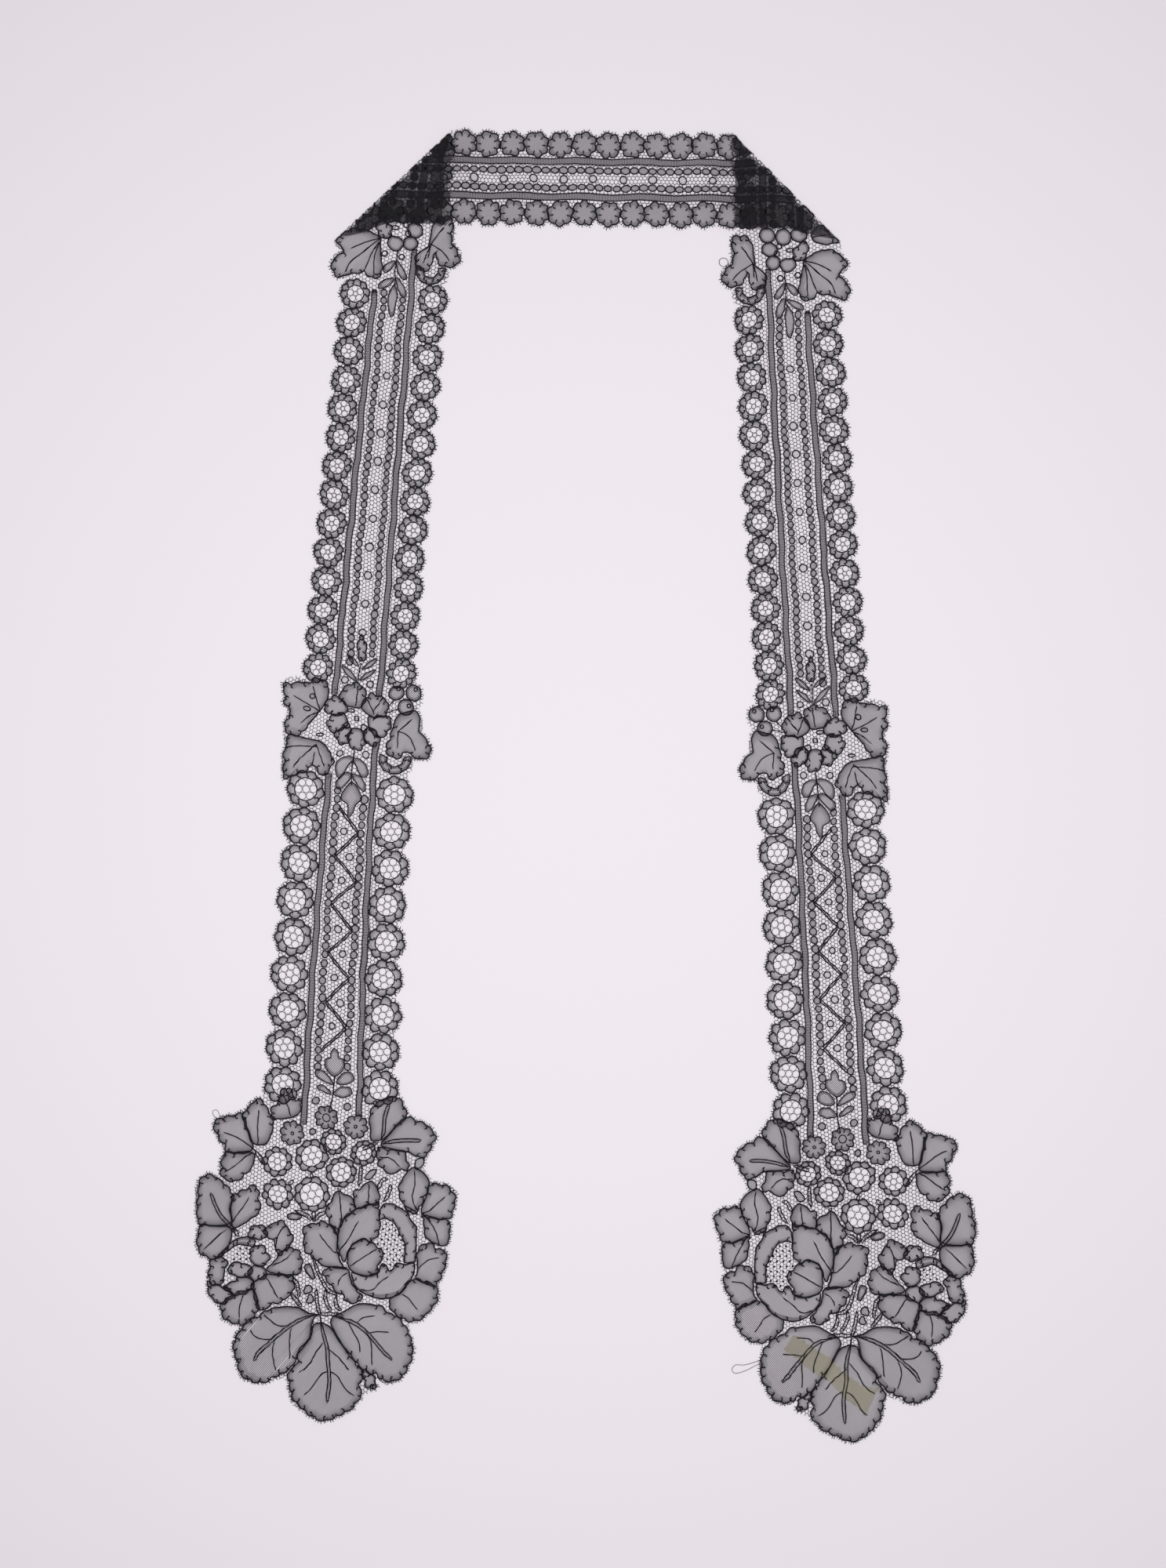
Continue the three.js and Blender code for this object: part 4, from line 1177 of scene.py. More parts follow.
# Bead rows of a hanging end: first, last, pitch, across at first, across at last, half sizes.
LAPPET_BEADS = [
    (135, 241, 3.3, -5.4, -4.7, 1.3, 1.45, HALF_RIM),
    (136, 242, 3.3, 5.9, 5.5, 1.3, 1.45, HALF_RIM),
    (290, 434, 3.0, -4.1, -3.8, 1.2, 1.35, HALF_RIM),
    (291, 434, 3.0, 4.2, 3.4, 1.2, 1.35, HALF_RIM),
    (466, UNDER_BAND_END, 3.4, -3.4, -3.4, 1.2, 1.5, HALF_RIM),
    (466, UNDER_BAND_END, 3.4, 3.4, 3.4, 1.2, 1.5, HALF_RIM),
    (301.5, 413, 10.9, 0, 0, 1.45, 1.45, CLOTH),
]


def ring_lobes(rings, side):
    """Crest and notch of each ring flower of a border, on one side of the strip."""
    i = np.arange(rings["count"])
    up = rings["first"] + i * rings["pitch"]
    across = rings["across"] + i * rings["taper"]
    crests = np.column_stack([side * (across + rings["radius"] + 0.2), up])
    notches = np.column_stack([side * (across + 0.62 * rings["radius"]), up + rings["pitch"] / 2])
    return list(zip(crests, notches))


def strip_outline():
    """Outline of a hanging end in the strip's frame, from the tip up one side and down again."""
    sides = []
    for k, side in enumerate((1, -1)):
        lobes = END_LOBES[k] + ring_lobes(LOWER_RINGS, side) + MIDDLE_LOBES[k]
        lobes = lobes + ring_lobes(UPPER_RINGS, side) + TOP_LOBES[k]
        top = [(side * across, up) for across, up in UNDER_BAND]
        sides.append(np.vstack([lobed((0.5, 0), lobes), top]))
    return np.vstack([sides[0], sides[1][:0:-1]])


def row(first, last, pitch, start, end):
    """Evenly spaced places up the strip from first to last, on a line between two offsets."""
    up = np.arange(first, last, pitch)
    across = np.interp(up, [first, last], [start, end])
    return np.column_stack([across, up])


def root_of(outline, lines):
    """The end of a rib that lies nearest to the leaf's outline."""
    if not lines:
        return None
    ends = np.array([end for line in lines for end in (line[0], line[-1])], float)
    gaps = np.hypot(*(ends[:, None] - np.asarray(outline, float)[None]).transpose(2, 0, 1))
    return ends[np.argmin(gaps.min(axis=1))]


def draw_leaves(drawing, leaves, nicks=True, cord=OUTLINE, swell=1.0, heart=None):
    """Leaves or petals; swell enlarges each about its own middle until it meets its neighbours."""
    for outline, veins, doubles in leaves:
        middle = np.mean(outline, axis=0)
        outline = middle + (np.array(outline) - middle) * swell
        root = heart if heart is not None else root_of(outline, doubles or veins[:1])
        drawing.panel(outline, nicks=nicks, cord=cord, root=root)
        for line in veins:
            drawing.vein(line)
        for line in doubles:
            drawing.vein(line, double=True)


def draw_border(drawing, rings):
    """A row of ring flowers up each side of the strip, each with its own turn."""
    for side in (-1, 1):
        for i in range(rings["count"]):
            across = side * (rings["across"] + i * rings["taper"])
            centre = np.array((across, rings["first"] + i * rings["pitch"]))
            turn = drawing.dice.uniform(0, 1)
            drawing.ring_flower(centre, rings["radius"], rings["hole"], rings["petals"],
                                rings["cells"], turn)


def draw_end(drawing):
    """The leafy end: rose, small flower, leaves, ring flowers and the sprig above them."""
    draw_leaves(drawing, BOTTOM_LEAVES)
    draw_leaves(drawing, SIDE_LEAVES)
    draw_leaves(drawing, ROSE)
    draw_leaves(drawing, SMALL_FLOWER, swell=1.07, heart=np.array(SMALL_FLOWER_MIDDLE))
    draw_leaves(drawing, END_SPRIG, nicks=False, cord=LIGHT_CORD)
    drawing.cord(END_SPRIG_STEM)
    for outer, inner in ROSE_SWEEPS:
        drawing.crescent(outer, inner)
    drawing.crescent(*SMALL_FLOWER_SWEEP)
    for line in ROSE_EXTRA_VEINS:
        drawing.vein(line)
    for line in END_STEMS + END_DOUBLE_STEMS:
        drawing.vein(line, double=True)
    for bud in END_BUDS:
        drawing.panel(bud, nicks=False, rim=False)
    for heart in (ROSE_HEART, SMALL_HEART):
        drawing.knots(curve(heart, True), 2.4)
    for centre, radius, hole in END_RINGS:
        drawing.ring_flower(np.array(centre), radius, hole, 9, 6, drawing.dice.uniform(0, 1))
    for centre, radius, eye in END_FLOWERS:
        drawing.flower(centre, radius, 8, eye)
    for centre, size in END_DOTS:
        drawing.beads([centre], size, size)


def draw_middle(drawing):
    """The bunch half way up: an open flower, leaves on both sides and a sprig up and down."""
    draw_leaves(drawing, MIDDLE_FLOWER, swell=1.04, heart=np.array(MIDDLE_FLOWER_MIDDLE))
    draw_leaves(drawing, MIDDLE_LEAVES)
    draw_leaves(drawing, MIDDLE_SPRIG, nicks=False, cord=LIGHT_CORD, swell=1.15)
    for centre, size, eye in MIDDLE_DISCS:
        drawing.panel(circle(centre, size, size, 10), nicks=False)
        drawing.eyelet(eye, 0.7)
    for line in MIDDLE_STEMS:
        drawing.vein(line)
    for start, end in SLENDER_LEAVES:
        middle = (np.array(start) + end) / 2
        step = (np.array(end) - start) * SLENDER_WIDTH / 2
        side = np.array([-step[1], step[0]])
        drawing.panel([start, middle + side, end, middle - side], nicks=False, rim=False,
                      cord=LIGHT_CORD)
    for centre, across, up in MIDDLE_EYELETS:
        drawing.eyelet(centre, across, up)
    drawing.beads(MIDDLE_DOTS, 1.3, 1.3, fill=CLOTH)


def draw_lappet(kept):
    """Everything on a hanging end, from the tip to the fold."""
    drawing = Drawing(kept, lambda across, up: up > UNDER_BAND[0][1])
    draw_end(drawing)
    draw_border(drawing, LOWER_RINGS)
    draw_middle(drawing)
    draw_border(drawing, UPPER_RINGS)
    for centre, radius, hole in HALF_RINGS:
        a = np.linspace(0.93 * math.pi, 2.07 * math.pi, 11)
        arc = np.column_stack([np.cos(a), np.sin(a)])
        drawing.crescent(centre + radius * arc, centre + hole * arc)
    draw_leaves(drawing, TOP_LEAVES)
    draw_leaves(drawing, TOP_SPRIG, nicks=False, cord=LIGHT_CORD)
    drawing.vein(TOP_STEM)
    for centre, across, up in TOP_EYELETS:
        drawing.eyelet(centre, across, up)
    for line in LOWER_BARS + UPPER_BARS:
        drawing.bar(line, LAPPET_BAR)
    for side in (-1, 1):
        across = side * UNDER_BAND_BAR
        drawing.bar([(across, UNDER_BAND[0][1] - 1), (across, UNDER_BAND_END)], BAND_BAR)
    for *places, across, up, fill in LAPPET_BEADS:
        drawing.beads(row(*places), across, up, fill)
    turns = np.arange(ZIGZAG_TURNS)
    across = np.where(turns % 2 == 0, *ZIGZAG_ENDS)
    zigzag = np.column_stack([across, ZIGZAG_FOOT + ZIGZAG_RISE * turns])
    for start, end in zip(zigzag[:-1], zigzag[1:]):
        for gap in (ZIGZAG_GAP, -ZIGZAG_GAP):
            drawing.cord([start + (0, gap), end + (0, gap)], OUTLINE, step=1.6)
    dots = np.where(turns % 2 == 0, *ZIGZAG_DOTS)
    drawing.beads(np.column_stack([dots, zigzag[:, 1]]), ZIGZAG_DOT, ZIGZAG_DOT, fill=CLOTH)
    for side in (-1, 1):
        for up in np.arange(BORDER_FLOWER["first"], UNDER_BAND_END, FOLD_FLOWER_PITCH):
            drawing.flower((side * BORDER_FLOWER["across"], up), BORDER_FLOWER["radius"])
    return drawing


BAND_LEFT_END = -100.0
BAND_RIGHT_END = 103.0
BAND_EDGE = 17.6                 # half width of the band on a flower, less by the wave between
BAND_WAVE = 1.9
BAND_FIRST_FLOWER = -45.9        # a flower near the band's left end; the rest follow by the pitch
BAND_FLOWER = {"up": 13.1, "radius": 4.95, "petals": 7}
BAND_BAR_UP = 6.8
BAND_BEADS = {"up": 3.3, "pitch": 3.4}
BAND_FIRST_DOT = -42.5
BAND_DOT_PITCH = 11.4
DOUBLED_LEFT = -54.0
DOUBLED_RIGHT = 57.5
# Outlines of the tucked layers under the folded corners, which also darken them as painted shade.
SHADED_TUCK_LEFT = [(-92.5, -18), (-54, -17.5), (-53.8, 4), (-52.6, 14.9), (-54.3, 13.2), (-58.7, 9.1),
             (-63, 5), (-67.4, 0.8), (-71.7, -3.3), (-76, -7.2), (-80.4, -10.5), (-84.7, -13.3),
             (-89.1, -15.8)]
SHADED_TUCK_RIGHT = [(95.4, -18), (92.4, -15.7), (88.5, -12.9), (84.6, -10), (80.7, -6.8), (76.8, -3.2),
              (72.9, 0.7), (69, 4.6), (65.1, 8.4), (61.2, 12.3), (58.6, 14.9), (57.4, 4),
              (57.5, -17.5)]


def band_outline():
    """Outline of the neck band in its own frame: a gently waved edge above and below."""
    x = np.arange(BAND_LEFT_END, BAND_RIGHT_END, 1.5)
    wave = np.abs(np.sin(math.pi * (x - BAND_FIRST_FLOWER) / FOLD_FLOWER_PITCH)) ** 3
    half = BAND_EDGE - BAND_WAVE * wave
    return np.vstack([np.column_stack([x, -half]), np.column_stack([x, half])[::-1]])


def draw_band(kept):
    """The neck band: two borders of small flowers, two tapes, two bead rows and a row of dots."""
    drawing = Drawing(kept, lambda x, up: x < DOUBLED_LEFT or x > DOUBLED_RIGHT, (1, 0))
    first = BAND_FIRST_FLOWER - 6 * FOLD_FLOWER_PITCH
    for side in (-1, 1):
        for x in np.arange(first, BAND_RIGHT_END, FOLD_FLOWER_PITCH):
            turn = drawing.dice.uniform(0, 1)
            centre = (x, side * BAND_FLOWER["up"])
            drawing.flower(centre, BAND_FLOWER["radius"], BAND_FLOWER["petals"], 0.0, turn)
        ends = (BAND_LEFT_END, DOUBLED_LEFT, DOUBLED_RIGHT, BAND_RIGHT_END)
        for start, end in zip(ends[:-1], ends[1:]):
            up = side * BAND_BAR_UP
            drawing.bar([(start, up), (end, up)], BAND_BAR)
        up = side * BAND_BEADS["up"]
        places = row(BAND_LEFT_END, BAND_RIGHT_END, BAND_BEADS["pitch"], up, up)
        drawing.beads(places[:, ::-1], 1.65, 1.25)
    # Tucked layers, also painted shade between the two layers of each corner.
    for outline in (SHADED_TUCK_LEFT, SHADED_TUCK_RIGHT):
        drawing.tuck(outline)
    first = BAND_FIRST_DOT - 3 * BAND_DOT_PITCH
    dots = row(first, BAND_RIGHT_END, BAND_DOT_PITCH, 0, 0)
    drawing.beads(dots[:, ::-1], 1.5, 1.5, fill=CLOTH)
    return drawing


LEFT = HangingEnd((-100.6, -243.2), (1.5, 33.5, -10.3), 1, LEFT_FOLD, 1)
RIGHT = HangingEnd((102.4, -251.2), (-8.0, -28.4, 13.4), -1, RIGHT_FOLD, 2)
BAND = NeckBand(3)

LONG_LOOP = [(33, 31), (36, 30.4), (40, 28.6), (44, 27.6), (45.4, 29), (44, 31), (40.5, 30.9),
             (36.5, 31.6), (33.3, 32.4)]
TINY_LOOP = [(-42, 113), (-44, 114.5), (-44.6, 116.4), (-43, 117), (-42, 115.4), (-41.6, 113.4)]
LOOSE_THREAD = 0.11              # radii of the loose threads
TINY_THREAD = 0.1
RING_THREAD = 0.13
RING_MIDDLE = (23.5, 452.5)      # a tiny loose ring under the right fold
LAPPET_FLAT = (0.1, 0.5)         # width and length of the cut in metres
BAND_FLAT = (0.0385, 0.205)
STRETCHES = {
    "left_lappet": (LEFT, draw_lappet, strip_outline, LAPPET_FLAT, "laid"),
    "neck_band": (BAND, draw_band, band_outline, BAND_FLAT, "folded"),
    "right_lappet": (RIGHT, draw_lappet, strip_outline, LAPPET_FLAT, "laid"),
}


@functools.cache
def drawn(stretch):
    """The drawing of a stretch, made once, with its outline."""
    lay, draw, outline, _, _ = STRETCHES[stretch]
    return draw(lay.kept), outline()


# ------------------------------------------------------------------ finishes

WHITE = (1, 1, 1)
GREY = (0.45, 0.45, 0.45)
SLANT_BACK = math.radians(-40)   # run of the finer threads that cross the cloth stitch


def new_material(name, colour, roughness, alpha=1.0, specular=0.15):
    """A plain thread finish, its uniform values set on the shader itself."""
    material = bpy.data.materials.new(name)
    material.use_nodes = True
    shader = material.node_tree.nodes["Principled BSDF"]
    shader.inputs["Base Color"].default_value = (*colour, 1)
    shader.inputs["Roughness"].default_value = roughness
    shader.inputs["Alpha"].default_value = alpha
    shader.inputs["Specular IOR Level"].default_value = specular
    return material


def node(material, kind, **inputs):
    """A new node of a kind with some inputs set; a low line in a name stands for a space."""
    made = material.node_tree.nodes.new(kind)
    for name, value in inputs.items():
        made.inputs[name.replace("_", " ")].default_value = value
    return made


def link(material, source, target):
    """Joins an output to an input."""
    material.node_tree.links.new(source, target)


def guide_of(material, turn=0.0, scale=(1.0, 1.0, 1.0)):
    """The piece's own guide: places in the strip on cloth, run and angle on a cord."""
    guide = node(material, "ShaderNodeAttribute")
    guide.attribute_name = "guide"
    place = node(material, "ShaderNodeMapping", Rotation=(0, 0, turn), Scale=scale)
    link(material, guide.outputs["Vector"], place.inputs["Vector"])
    return place.outputs["Vector"]


def paint(material, colour):
    """Makes a colour the base colour of the finish."""
    shader = material.node_tree.nodes["Principled BSDF"]
    link(material, colour, shader.inputs["Base Color"])


def ramp(material, source, stops):
    """Colours between stops, each a place from 0 to 1 and a colour."""
    made = node(material, "ShaderNodeValToRGB")
    made.color_ramp.elements[0].position = stops[0][0]
    made.color_ramp.elements[0].color = (*stops[0][1], 1)
    made.color_ramp.elements[1].position = stops[-1][0]
    made.color_ramp.elements[1].color = (*stops[-1][1], 1)
    for at, colour in stops[1:-1]:
        made.color_ramp.elements.new(at).color = (*colour, 1)
    link(material, source, made.inputs["Fac"])
    return made.outputs["Color"]


def bump(material, height, strength, distance):
    """Fine relief from a height, its depth in metres."""
    made = node(material, "ShaderNodeBump", Strength=strength, Distance=distance)
    link(material, height, made.inputs["Height"])
    shader = material.node_tree.nodes["Principled BSDF"]
    link(material, made.outputs["Normal"], shader.inputs["Normal"])


def waves(material, turn, pitch, distortion=0.0):
    """Even ridges across the guide: a sine with the pitch in millimetres, turned by an angle."""
    made = node(material, "ShaderNodeTexWave", Scale=math.pi / 10 / pitch, Distortion=distortion)
    link(material, guide_of(material, turn), made.inputs["Vector"])
    return made.outputs["Fac"]


def blend(material, kind, factor, first, second):
    """Two colours mixed by a kind of mix and a share from 0 to 1."""
    made = node(material, "ShaderNodeMix")
    made.data_type = "RGBA"
    made.blend_type = kind
    made.inputs["Factor"].default_value = factor
    link(material, first, made.inputs["A"])
    link(material, second, made.inputs["B"])
    return made.outputs["Result"]


def cloth_stitch(name, looks, alpha, light):
    """Cloth stitch: close slanting threads crossed by finer ones, with a painted sheen, grey
    where the silk would catch light; uneven in depth over a few millimetres."""
    material = new_material(name, looks.thread, 0.65, alpha, 0.15)
    slant = waves(material, SLANT, looks.weave_pitch, 0.6)
    cross = waves(material, SLANT_BACK, looks.weave_pitch * 0.8, 0.4)
    cloud = node(material, "ShaderNodeTexNoise", Scale=0.22, Detail=3.0)
    link(material, guide_of(material), cloud.inputs["Vector"])
    # Painted sheen: the slanting threads run from the black thread to the light colour, a highlight
    # painted where the silk would catch light.
    base = ramp(material, slant, [(0.25, looks.thread), (0.8, light)])
    finer = ramp(material, cross, [(0.2, GREY), (0.8, WHITE)])
    colour = blend(material, "MULTIPLY", 0.6, base, finer)
    depth = ramp(material, cloud.outputs["Fac"], [(0.3, GREY), (0.7, WHITE)])
    paint(material, blend(material, "MULTIPLY", 0.8, colour, depth))
    bump(material, slant, 0.5, 0.0001)
    return material


def net_thread(looks):
    """Fine net thread: grey, paler where it is worn."""
    material = new_material("net_thread", looks.thread, 0.65)
    cloud = node(material, "ShaderNodeTexNoise", Scale=0.35, Detail=2.0)
    link(material, guide_of(material), cloud.inputs["Vector"])
    dark = tuple(6.0 * c for c in looks.thread)
    pale = tuple(13.0 * c for c in looks.thread)
    paint(material, ramp(material, cloud.outputs["Fac"], [(0.35, dark), (0.7, pale)]))
    bump(material, waves(material, 0.4, 0.25), 0.4, 0.00005)
    return material


def twisted(name, colour, pitch):
    """Plied thread: ridges that wind round a cord, with painted shade in the grooves between the plies
    and a painted highlight on the ridges.  The ridges slant because the run along the cord and the
    angle round it add up."""
    material = new_material(name, colour, 0.6, 1.0, 0.1)
    ply = node(material, "ShaderNodeTexWave", Scale=math.pi / 10)
    link(material, guide_of(material, math.radians(30), (1 / pitch, 2.0, 1.0)), ply.inputs["Vector"])
    # Painted shade and highlight: the thread's colour in the grooves, 1.8 times it on the ridges.
    pale = tuple(1.8 * c for c in colour)
    paint(material, ramp(material, ply.outputs["Fac"], [(0.2, colour), (0.9, pale)]))
    bump(material, ply.outputs["Fac"], 0.5, 0.00008)
    return material


@functools.cache
def finishes():
    """All finishes by name, made once."""
    looks = bpy.context.scene.lace_looks
    thread = tuple(looks.thread)
    return {
        "cloth": cloth_stitch("cloth_stitch", looks, looks.cloth_cover, looks.painted_sheen),
        "stain": new_material("dried_stain", tuple(looks.stain), 0.6, looks.stain_cover, 0.1),
        # The closer cloth along an outline takes half the painted sheen, and the half-close cloth
        # takes all of it.
        "rim": cloth_stitch("close_cloth_stitch", looks, looks.rim_cover,
                            tuple(0.5 * c for c in looks.painted_sheen)),
        # The doubled cloth of a folded corner: closer, and with 0.12 of the painted sheen, so darker
        # as painted shade for the shade trapped between the two layers.
        "doubled": cloth_stitch("doubled_shaded_cloth_stitch", looks, looks.doubled_cover,
                                tuple(0.12 * c for c in looks.painted_sheen)),
        "half": cloth_stitch("half_close_cloth_stitch", looks,
                             (looks.rim_cover + looks.cloth_cover) / 2, looks.painted_sheen),
        "net": net_thread(looks),
        "cord": twisted("outline_cord", thread, 0.5),
        "fine": twisted("fine_thread", tuple(2.5 * c for c in thread), 0.3),
        "worn": twisted("worn_thread", tuple(looks.worn_thread), 0.4),
    }


# ------------------------------------------------------------------ sizes and colours to change


class LaceSizes(bpy.types.PropertyGroup):
    """Sizes of the net and of the edge loops, in millimetres."""

    net_pitch: FloatProperty(
        name="Net pitch", description="Width of one cell of the net, in millimetres", default=1.5)
    net_width: FloatProperty(
        name="Net thread", description="Width of a net thread, in millimetres", default=0.2)
    picot_pitch: FloatProperty(
        name="Edge loop spacing", description="Distance between edge loops, in millimetres",
        default=0.85)
    picot_reach: FloatProperty(
        name="Edge loop reach", description="Length of an edge loop, in millimetres", default=1.05)
    picot_sides: IntProperty(
        name="Edge loop sides", description="Sides of an edge loop's thread", default=3)


class LaceLooks(bpy.types.PropertyGroup):
    """Colours and closeness of the lace."""

    thread: FloatVectorProperty(
        name="Thread", description="Colour of the black silk", subtype="COLOR",
        default=(0.008, 0.007, 0.010))
    # The painted sheen of the cloth stitch: grey that stands for light caught by the black silk.
    painted_sheen: FloatVectorProperty(
        name="Silk light", description="Colour where the cloth stitch catches light",
        subtype="COLOR", default=(0.34, 0.31, 0.345))
    worn_thread: FloatVectorProperty(
        name="Loose thread", description="Colour of the loose threads", subtype="COLOR",
        default=(0.05, 0.038, 0.03))
    stain: FloatVectorProperty(
        name="Stain", description="Colour of the old stain", subtype="COLOR",
        default=(0.46, 0.415, 0.28))
    stain_cover: FloatProperty(
        name="Stain cover", description="Share of light that one face of the stain stops",
        default=0.25, subtype="FACTOR")
    cloth_cover: FloatProperty(
        name="Cloth cover", description="Share of light that one face of the cloth stops",
        default=0.1, subtype="FACTOR")
    rim_cover: FloatProperty(
        name="Close cloth cover", description="The same for the closer cloth along an outline",
        default=0.4, subtype="FACTOR")
    # The closer cloth of a folded corner stands partly for its close cover and partly as painted shade
    # between the two layers.
    doubled_cover: FloatProperty(
        name="Doubled cloth cover", description="The same for cloth in a folded corner",
        default=0.34, subtype="FACTOR")
    weave_pitch: FloatProperty(
        name="Weave pitch", description="Distance between slanting threads, in millimetres",
        default=0.62)


class LaceStage(bpy.types.PropertyGroup):
    """The table, its light and the view."""

    table: FloatVectorProperty(
        name="Table", description="Colour of the table", subtype="COLOR",
        default=(0.80, 0.752, 0.80))
    sky: FloatProperty(name="Room light", description="Strength of the light all round", default=0.27)
    lamp: FloatProperty(
        name="Lamp power", description="Power of the large soft lamp", default=8.4,
        subtype="POWER", unit="POWER")
    eye_height: FloatProperty(
        name="View height", description="Height of the camera above the table", default=1.6,
        subtype="DISTANCE", unit="LENGTH")
    field: FloatProperty(
        name="Field", description="Length of table that the view takes in", default=0.6,
        subtype="DISTANCE", unit="LENGTH")


# ------------------------------------------------------------------ operators

TABLE_HALF = 3.0                 # metres, as all sizes of the stage
ROOM_COLOUR = (1.0, 0.985, 1.0, 1)
LAMP_SIZE = 0.6
LAMP_HEIGHT = 0.95
EYE_PLACE = (-0.0006, 0.00045)   # where the view's middle falls on the table


def owned(piece):
    """What every piece has: it rides on the one body."""
    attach(piece, "root")
    return piece


class LACE_OT_cloth(bpy.types.Operator):
    """Net and cloth stitch of the three stretches"""

    bl_idname = "lace.cloth"
    bl_label = "Net and cloth"

    def execute(self, context):
        sizes = context.scene.lace_sizes
        kinds = finishes()
        for stretch, (lay, _, _, _, _) in STRETCHES.items():
            drawing, outline = drawn(stretch)
            drawing.net(outline, sizes.net_pitch, sizes.net_width)
            materials = [kinds[kind] for kind in ("cloth", "rim", "half", "doubled", "net")]
            if stretch == "right_lappet":
                drawing.patch(*STAIN_LINES)
                materials.append(kinds["stain"])
            piece = drawing.cloth.finish(stretch + "_cloth", lay, materials)
            owned(piece)
            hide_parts(stretch)
        return {"FINISHED"}


class LACE_OT_outlines(bpy.types.Operator):
    """Outlining cords, ribs, rings and stars of the three stretches"""

    bl_idname = "lace.outlines"
    bl_label = "Outlining cords"

    def execute(self, context):
        kinds = finishes()
        for stretch, (lay, _, _, _, _) in STRETCHES.items():
            drawing, _ = drawn(stretch)
            owned(drawing.lines.finish(stretch + "_outline", lay, [kinds["cord"], kinds["fine"]]))
        return {"FINISHED"}


class LACE_OT_picots(bpy.types.Operator):
    """Loops and hairs along the free edges"""

    bl_idname = "lace.picots"
    bl_label = "Edge loops"

    def execute(self, context):
        sizes = context.scene.lace_sizes
        for stretch, (lay, _, _, _, _) in STRETCHES.items():
            drawing, outline = drawn(stretch)
            mesh = Mesh()
            for bend in drawing.picots(outline, sizes.picot_pitch, sizes.picot_reach):
                mesh.cords(bend, EDGE_THREAD, 0.0, sizes.picot_sides)
            owned(mesh.finish(stretch + "_picots", lay, [finishes()["cord"]]))
        return {"FINISHED"}


class LACE_OT_sheets(bpy.types.Operator):
    """Works out the area of the part of each stretch that shows, and does nothing with it"""

    bl_idname = "lace.sheets"
    bl_label = "Flat sizes"

    def execute(self, context):
        for stretch, (lay, _, _, flat, held) in STRETCHES.items():
            _, outline = drawn(stretch)
            shown = outline[lay.kept(outline[:, 0], outline[:, 1])]
            area = abs(signed_area(shown)) * MM * MM
        return {"FINISHED"}


class LACE_OT_loose_threads(bpy.types.Operator):
    """Loose ends: a long loop by the right bottom leaf and two tiny ones"""

    bl_idname = "lace.loose_threads"
    bl_label = "Loose threads"

    def execute(self, context):
        right = Mesh()
        right.cords(curve(LONG_LOOP, step=0.5), LOOSE_THREAD, 0.0)
        right.cords(circle(RING_MIDDLE, 1.7, 1.8, 14), RING_THREAD, 0.0, closed=True)
        owned(right.finish("right_loose_threads", RIGHT, [finishes()["worn"]]))
        left = Mesh()
        left.cords(curve(TINY_LOOP, step=0.5), TINY_THREAD, 0.0)
        owned(left.finish("left_loose_thread", LEFT, [finishes()["worn"]]))
        return {"FINISHED"}


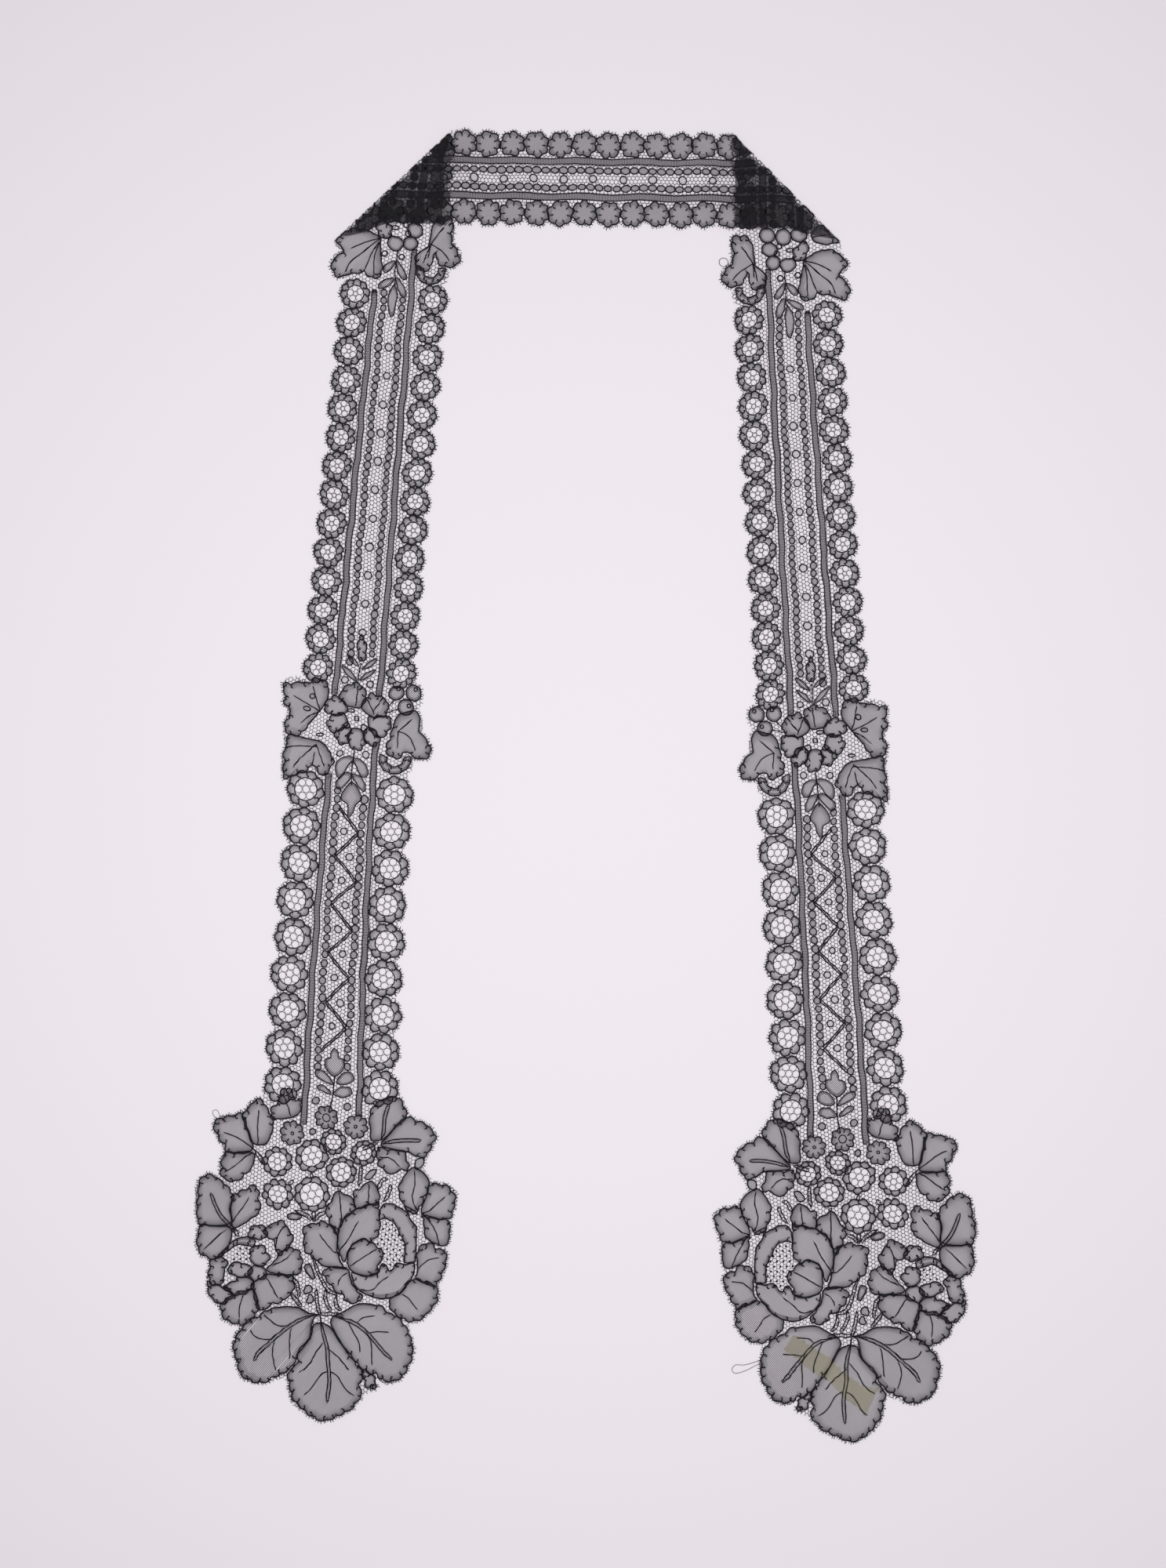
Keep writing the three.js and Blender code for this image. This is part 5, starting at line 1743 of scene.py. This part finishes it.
class LACE_OT_stage(bpy.types.Operator):
    """Pale table, soft light and a view from straight above"""

    bl_idname = "lace.stage"
    bl_label = "Stage"

    def execute(self, context):
        stage = context.scene.lace_stage
        half = TABLE_HALF
        mesh = bpy.data.meshes.new("table")
        corners = [(-half, -half, 0), (half, -half, 0), (half, half, 0), (-half, half, 0)]
        mesh.from_pydata(corners, [], [(0, 1, 2, 3)])
        table = bpy.data.objects.new("table", mesh)
        context.collection.objects.link(table)
        mesh.materials.append(new_material("table", tuple(stage.table), 0.9, 1.0, 0.1))
        world = bpy.data.worlds.new("room")
        world.use_nodes = True
        background = world.node_tree.nodes["Background"]
        background.inputs["Color"].default_value = ROOM_COLOUR
        background.inputs["Strength"].default_value = stage.sky
        context.scene.world = world
        light = bpy.data.lights.new("soft_lamp", "AREA")
        light.energy = stage.lamp
        light.size = LAMP_SIZE
        lamp = bpy.data.objects.new("soft_lamp", light)
        lamp.location = (0.0, 0.0, LAMP_HEIGHT)
        context.collection.objects.link(lamp)
        lens = bpy.data.cameras.new("view")
        lens.sensor_fit = "VERTICAL"
        lens.sensor_height = 36.0
        lens.lens = lens.sensor_height * stage.eye_height / stage.field
        lens.clip_start = 0.05
        eye = bpy.data.objects.new("view", lens)
        eye.location = (*EYE_PLACE, stage.eye_height)
        context.collection.objects.link(eye)
        context.scene.camera = eye
        context.scene.view_settings.view_transform = "Standard"
        return {"FINISHED"}


class LACE_PT_panel(bpy.types.Panel):
    """Lists the steps that make the collar"""

    bl_idname = "LACE_PT_panel"
    bl_label = "Lace lappet collar"
    bl_space_type = "VIEW_3D"
    bl_region_type = "UI"
    bl_category = "Lace"

    def draw(self, context):
        scene = context.scene
        for group in (scene.lace_sizes, scene.lace_looks, scene.lace_stage):
            box = self.layout.box()
            for name in group.__annotations__:
                box.prop(group, name)
        for operator in OPERATORS:
            self.layout.operator(operator.bl_idname)


OPERATORS = (
    LACE_OT_stage,
    LACE_OT_cloth,
    LACE_OT_outlines,
    LACE_OT_picots,
    LACE_OT_loose_threads,
    LACE_OT_sheets,
)
GROUPS = (LaceSizes, LaceLooks, LaceStage)


def register():
    """Adds the groups, the operators and the panel to Blender."""
    for made in (*GROUPS, *OPERATORS, LACE_PT_panel):
        bpy.utils.register_class(made)
    bpy.types.Scene.lace_sizes = PointerProperty(type=LaceSizes)
    bpy.types.Scene.lace_looks = PointerProperty(type=LaceLooks)
    bpy.types.Scene.lace_stage = PointerProperty(type=LaceStage)


def unregister():
    """Takes them out again, in the opposite order."""
    del bpy.types.Scene.lace_stage
    del bpy.types.Scene.lace_looks
    del bpy.types.Scene.lace_sizes
    for made in (LACE_PT_panel, *reversed(OPERATORS), *reversed(GROUPS)):
        bpy.utils.unregister_class(made)


def main():
    """Runs every step through its operator."""
    register()
    for operator in OPERATORS:
        group, name = operator.bl_idname.split(".")
        getattr(getattr(bpy.ops, group), name)()


if __name__ == "__main__":
    main()
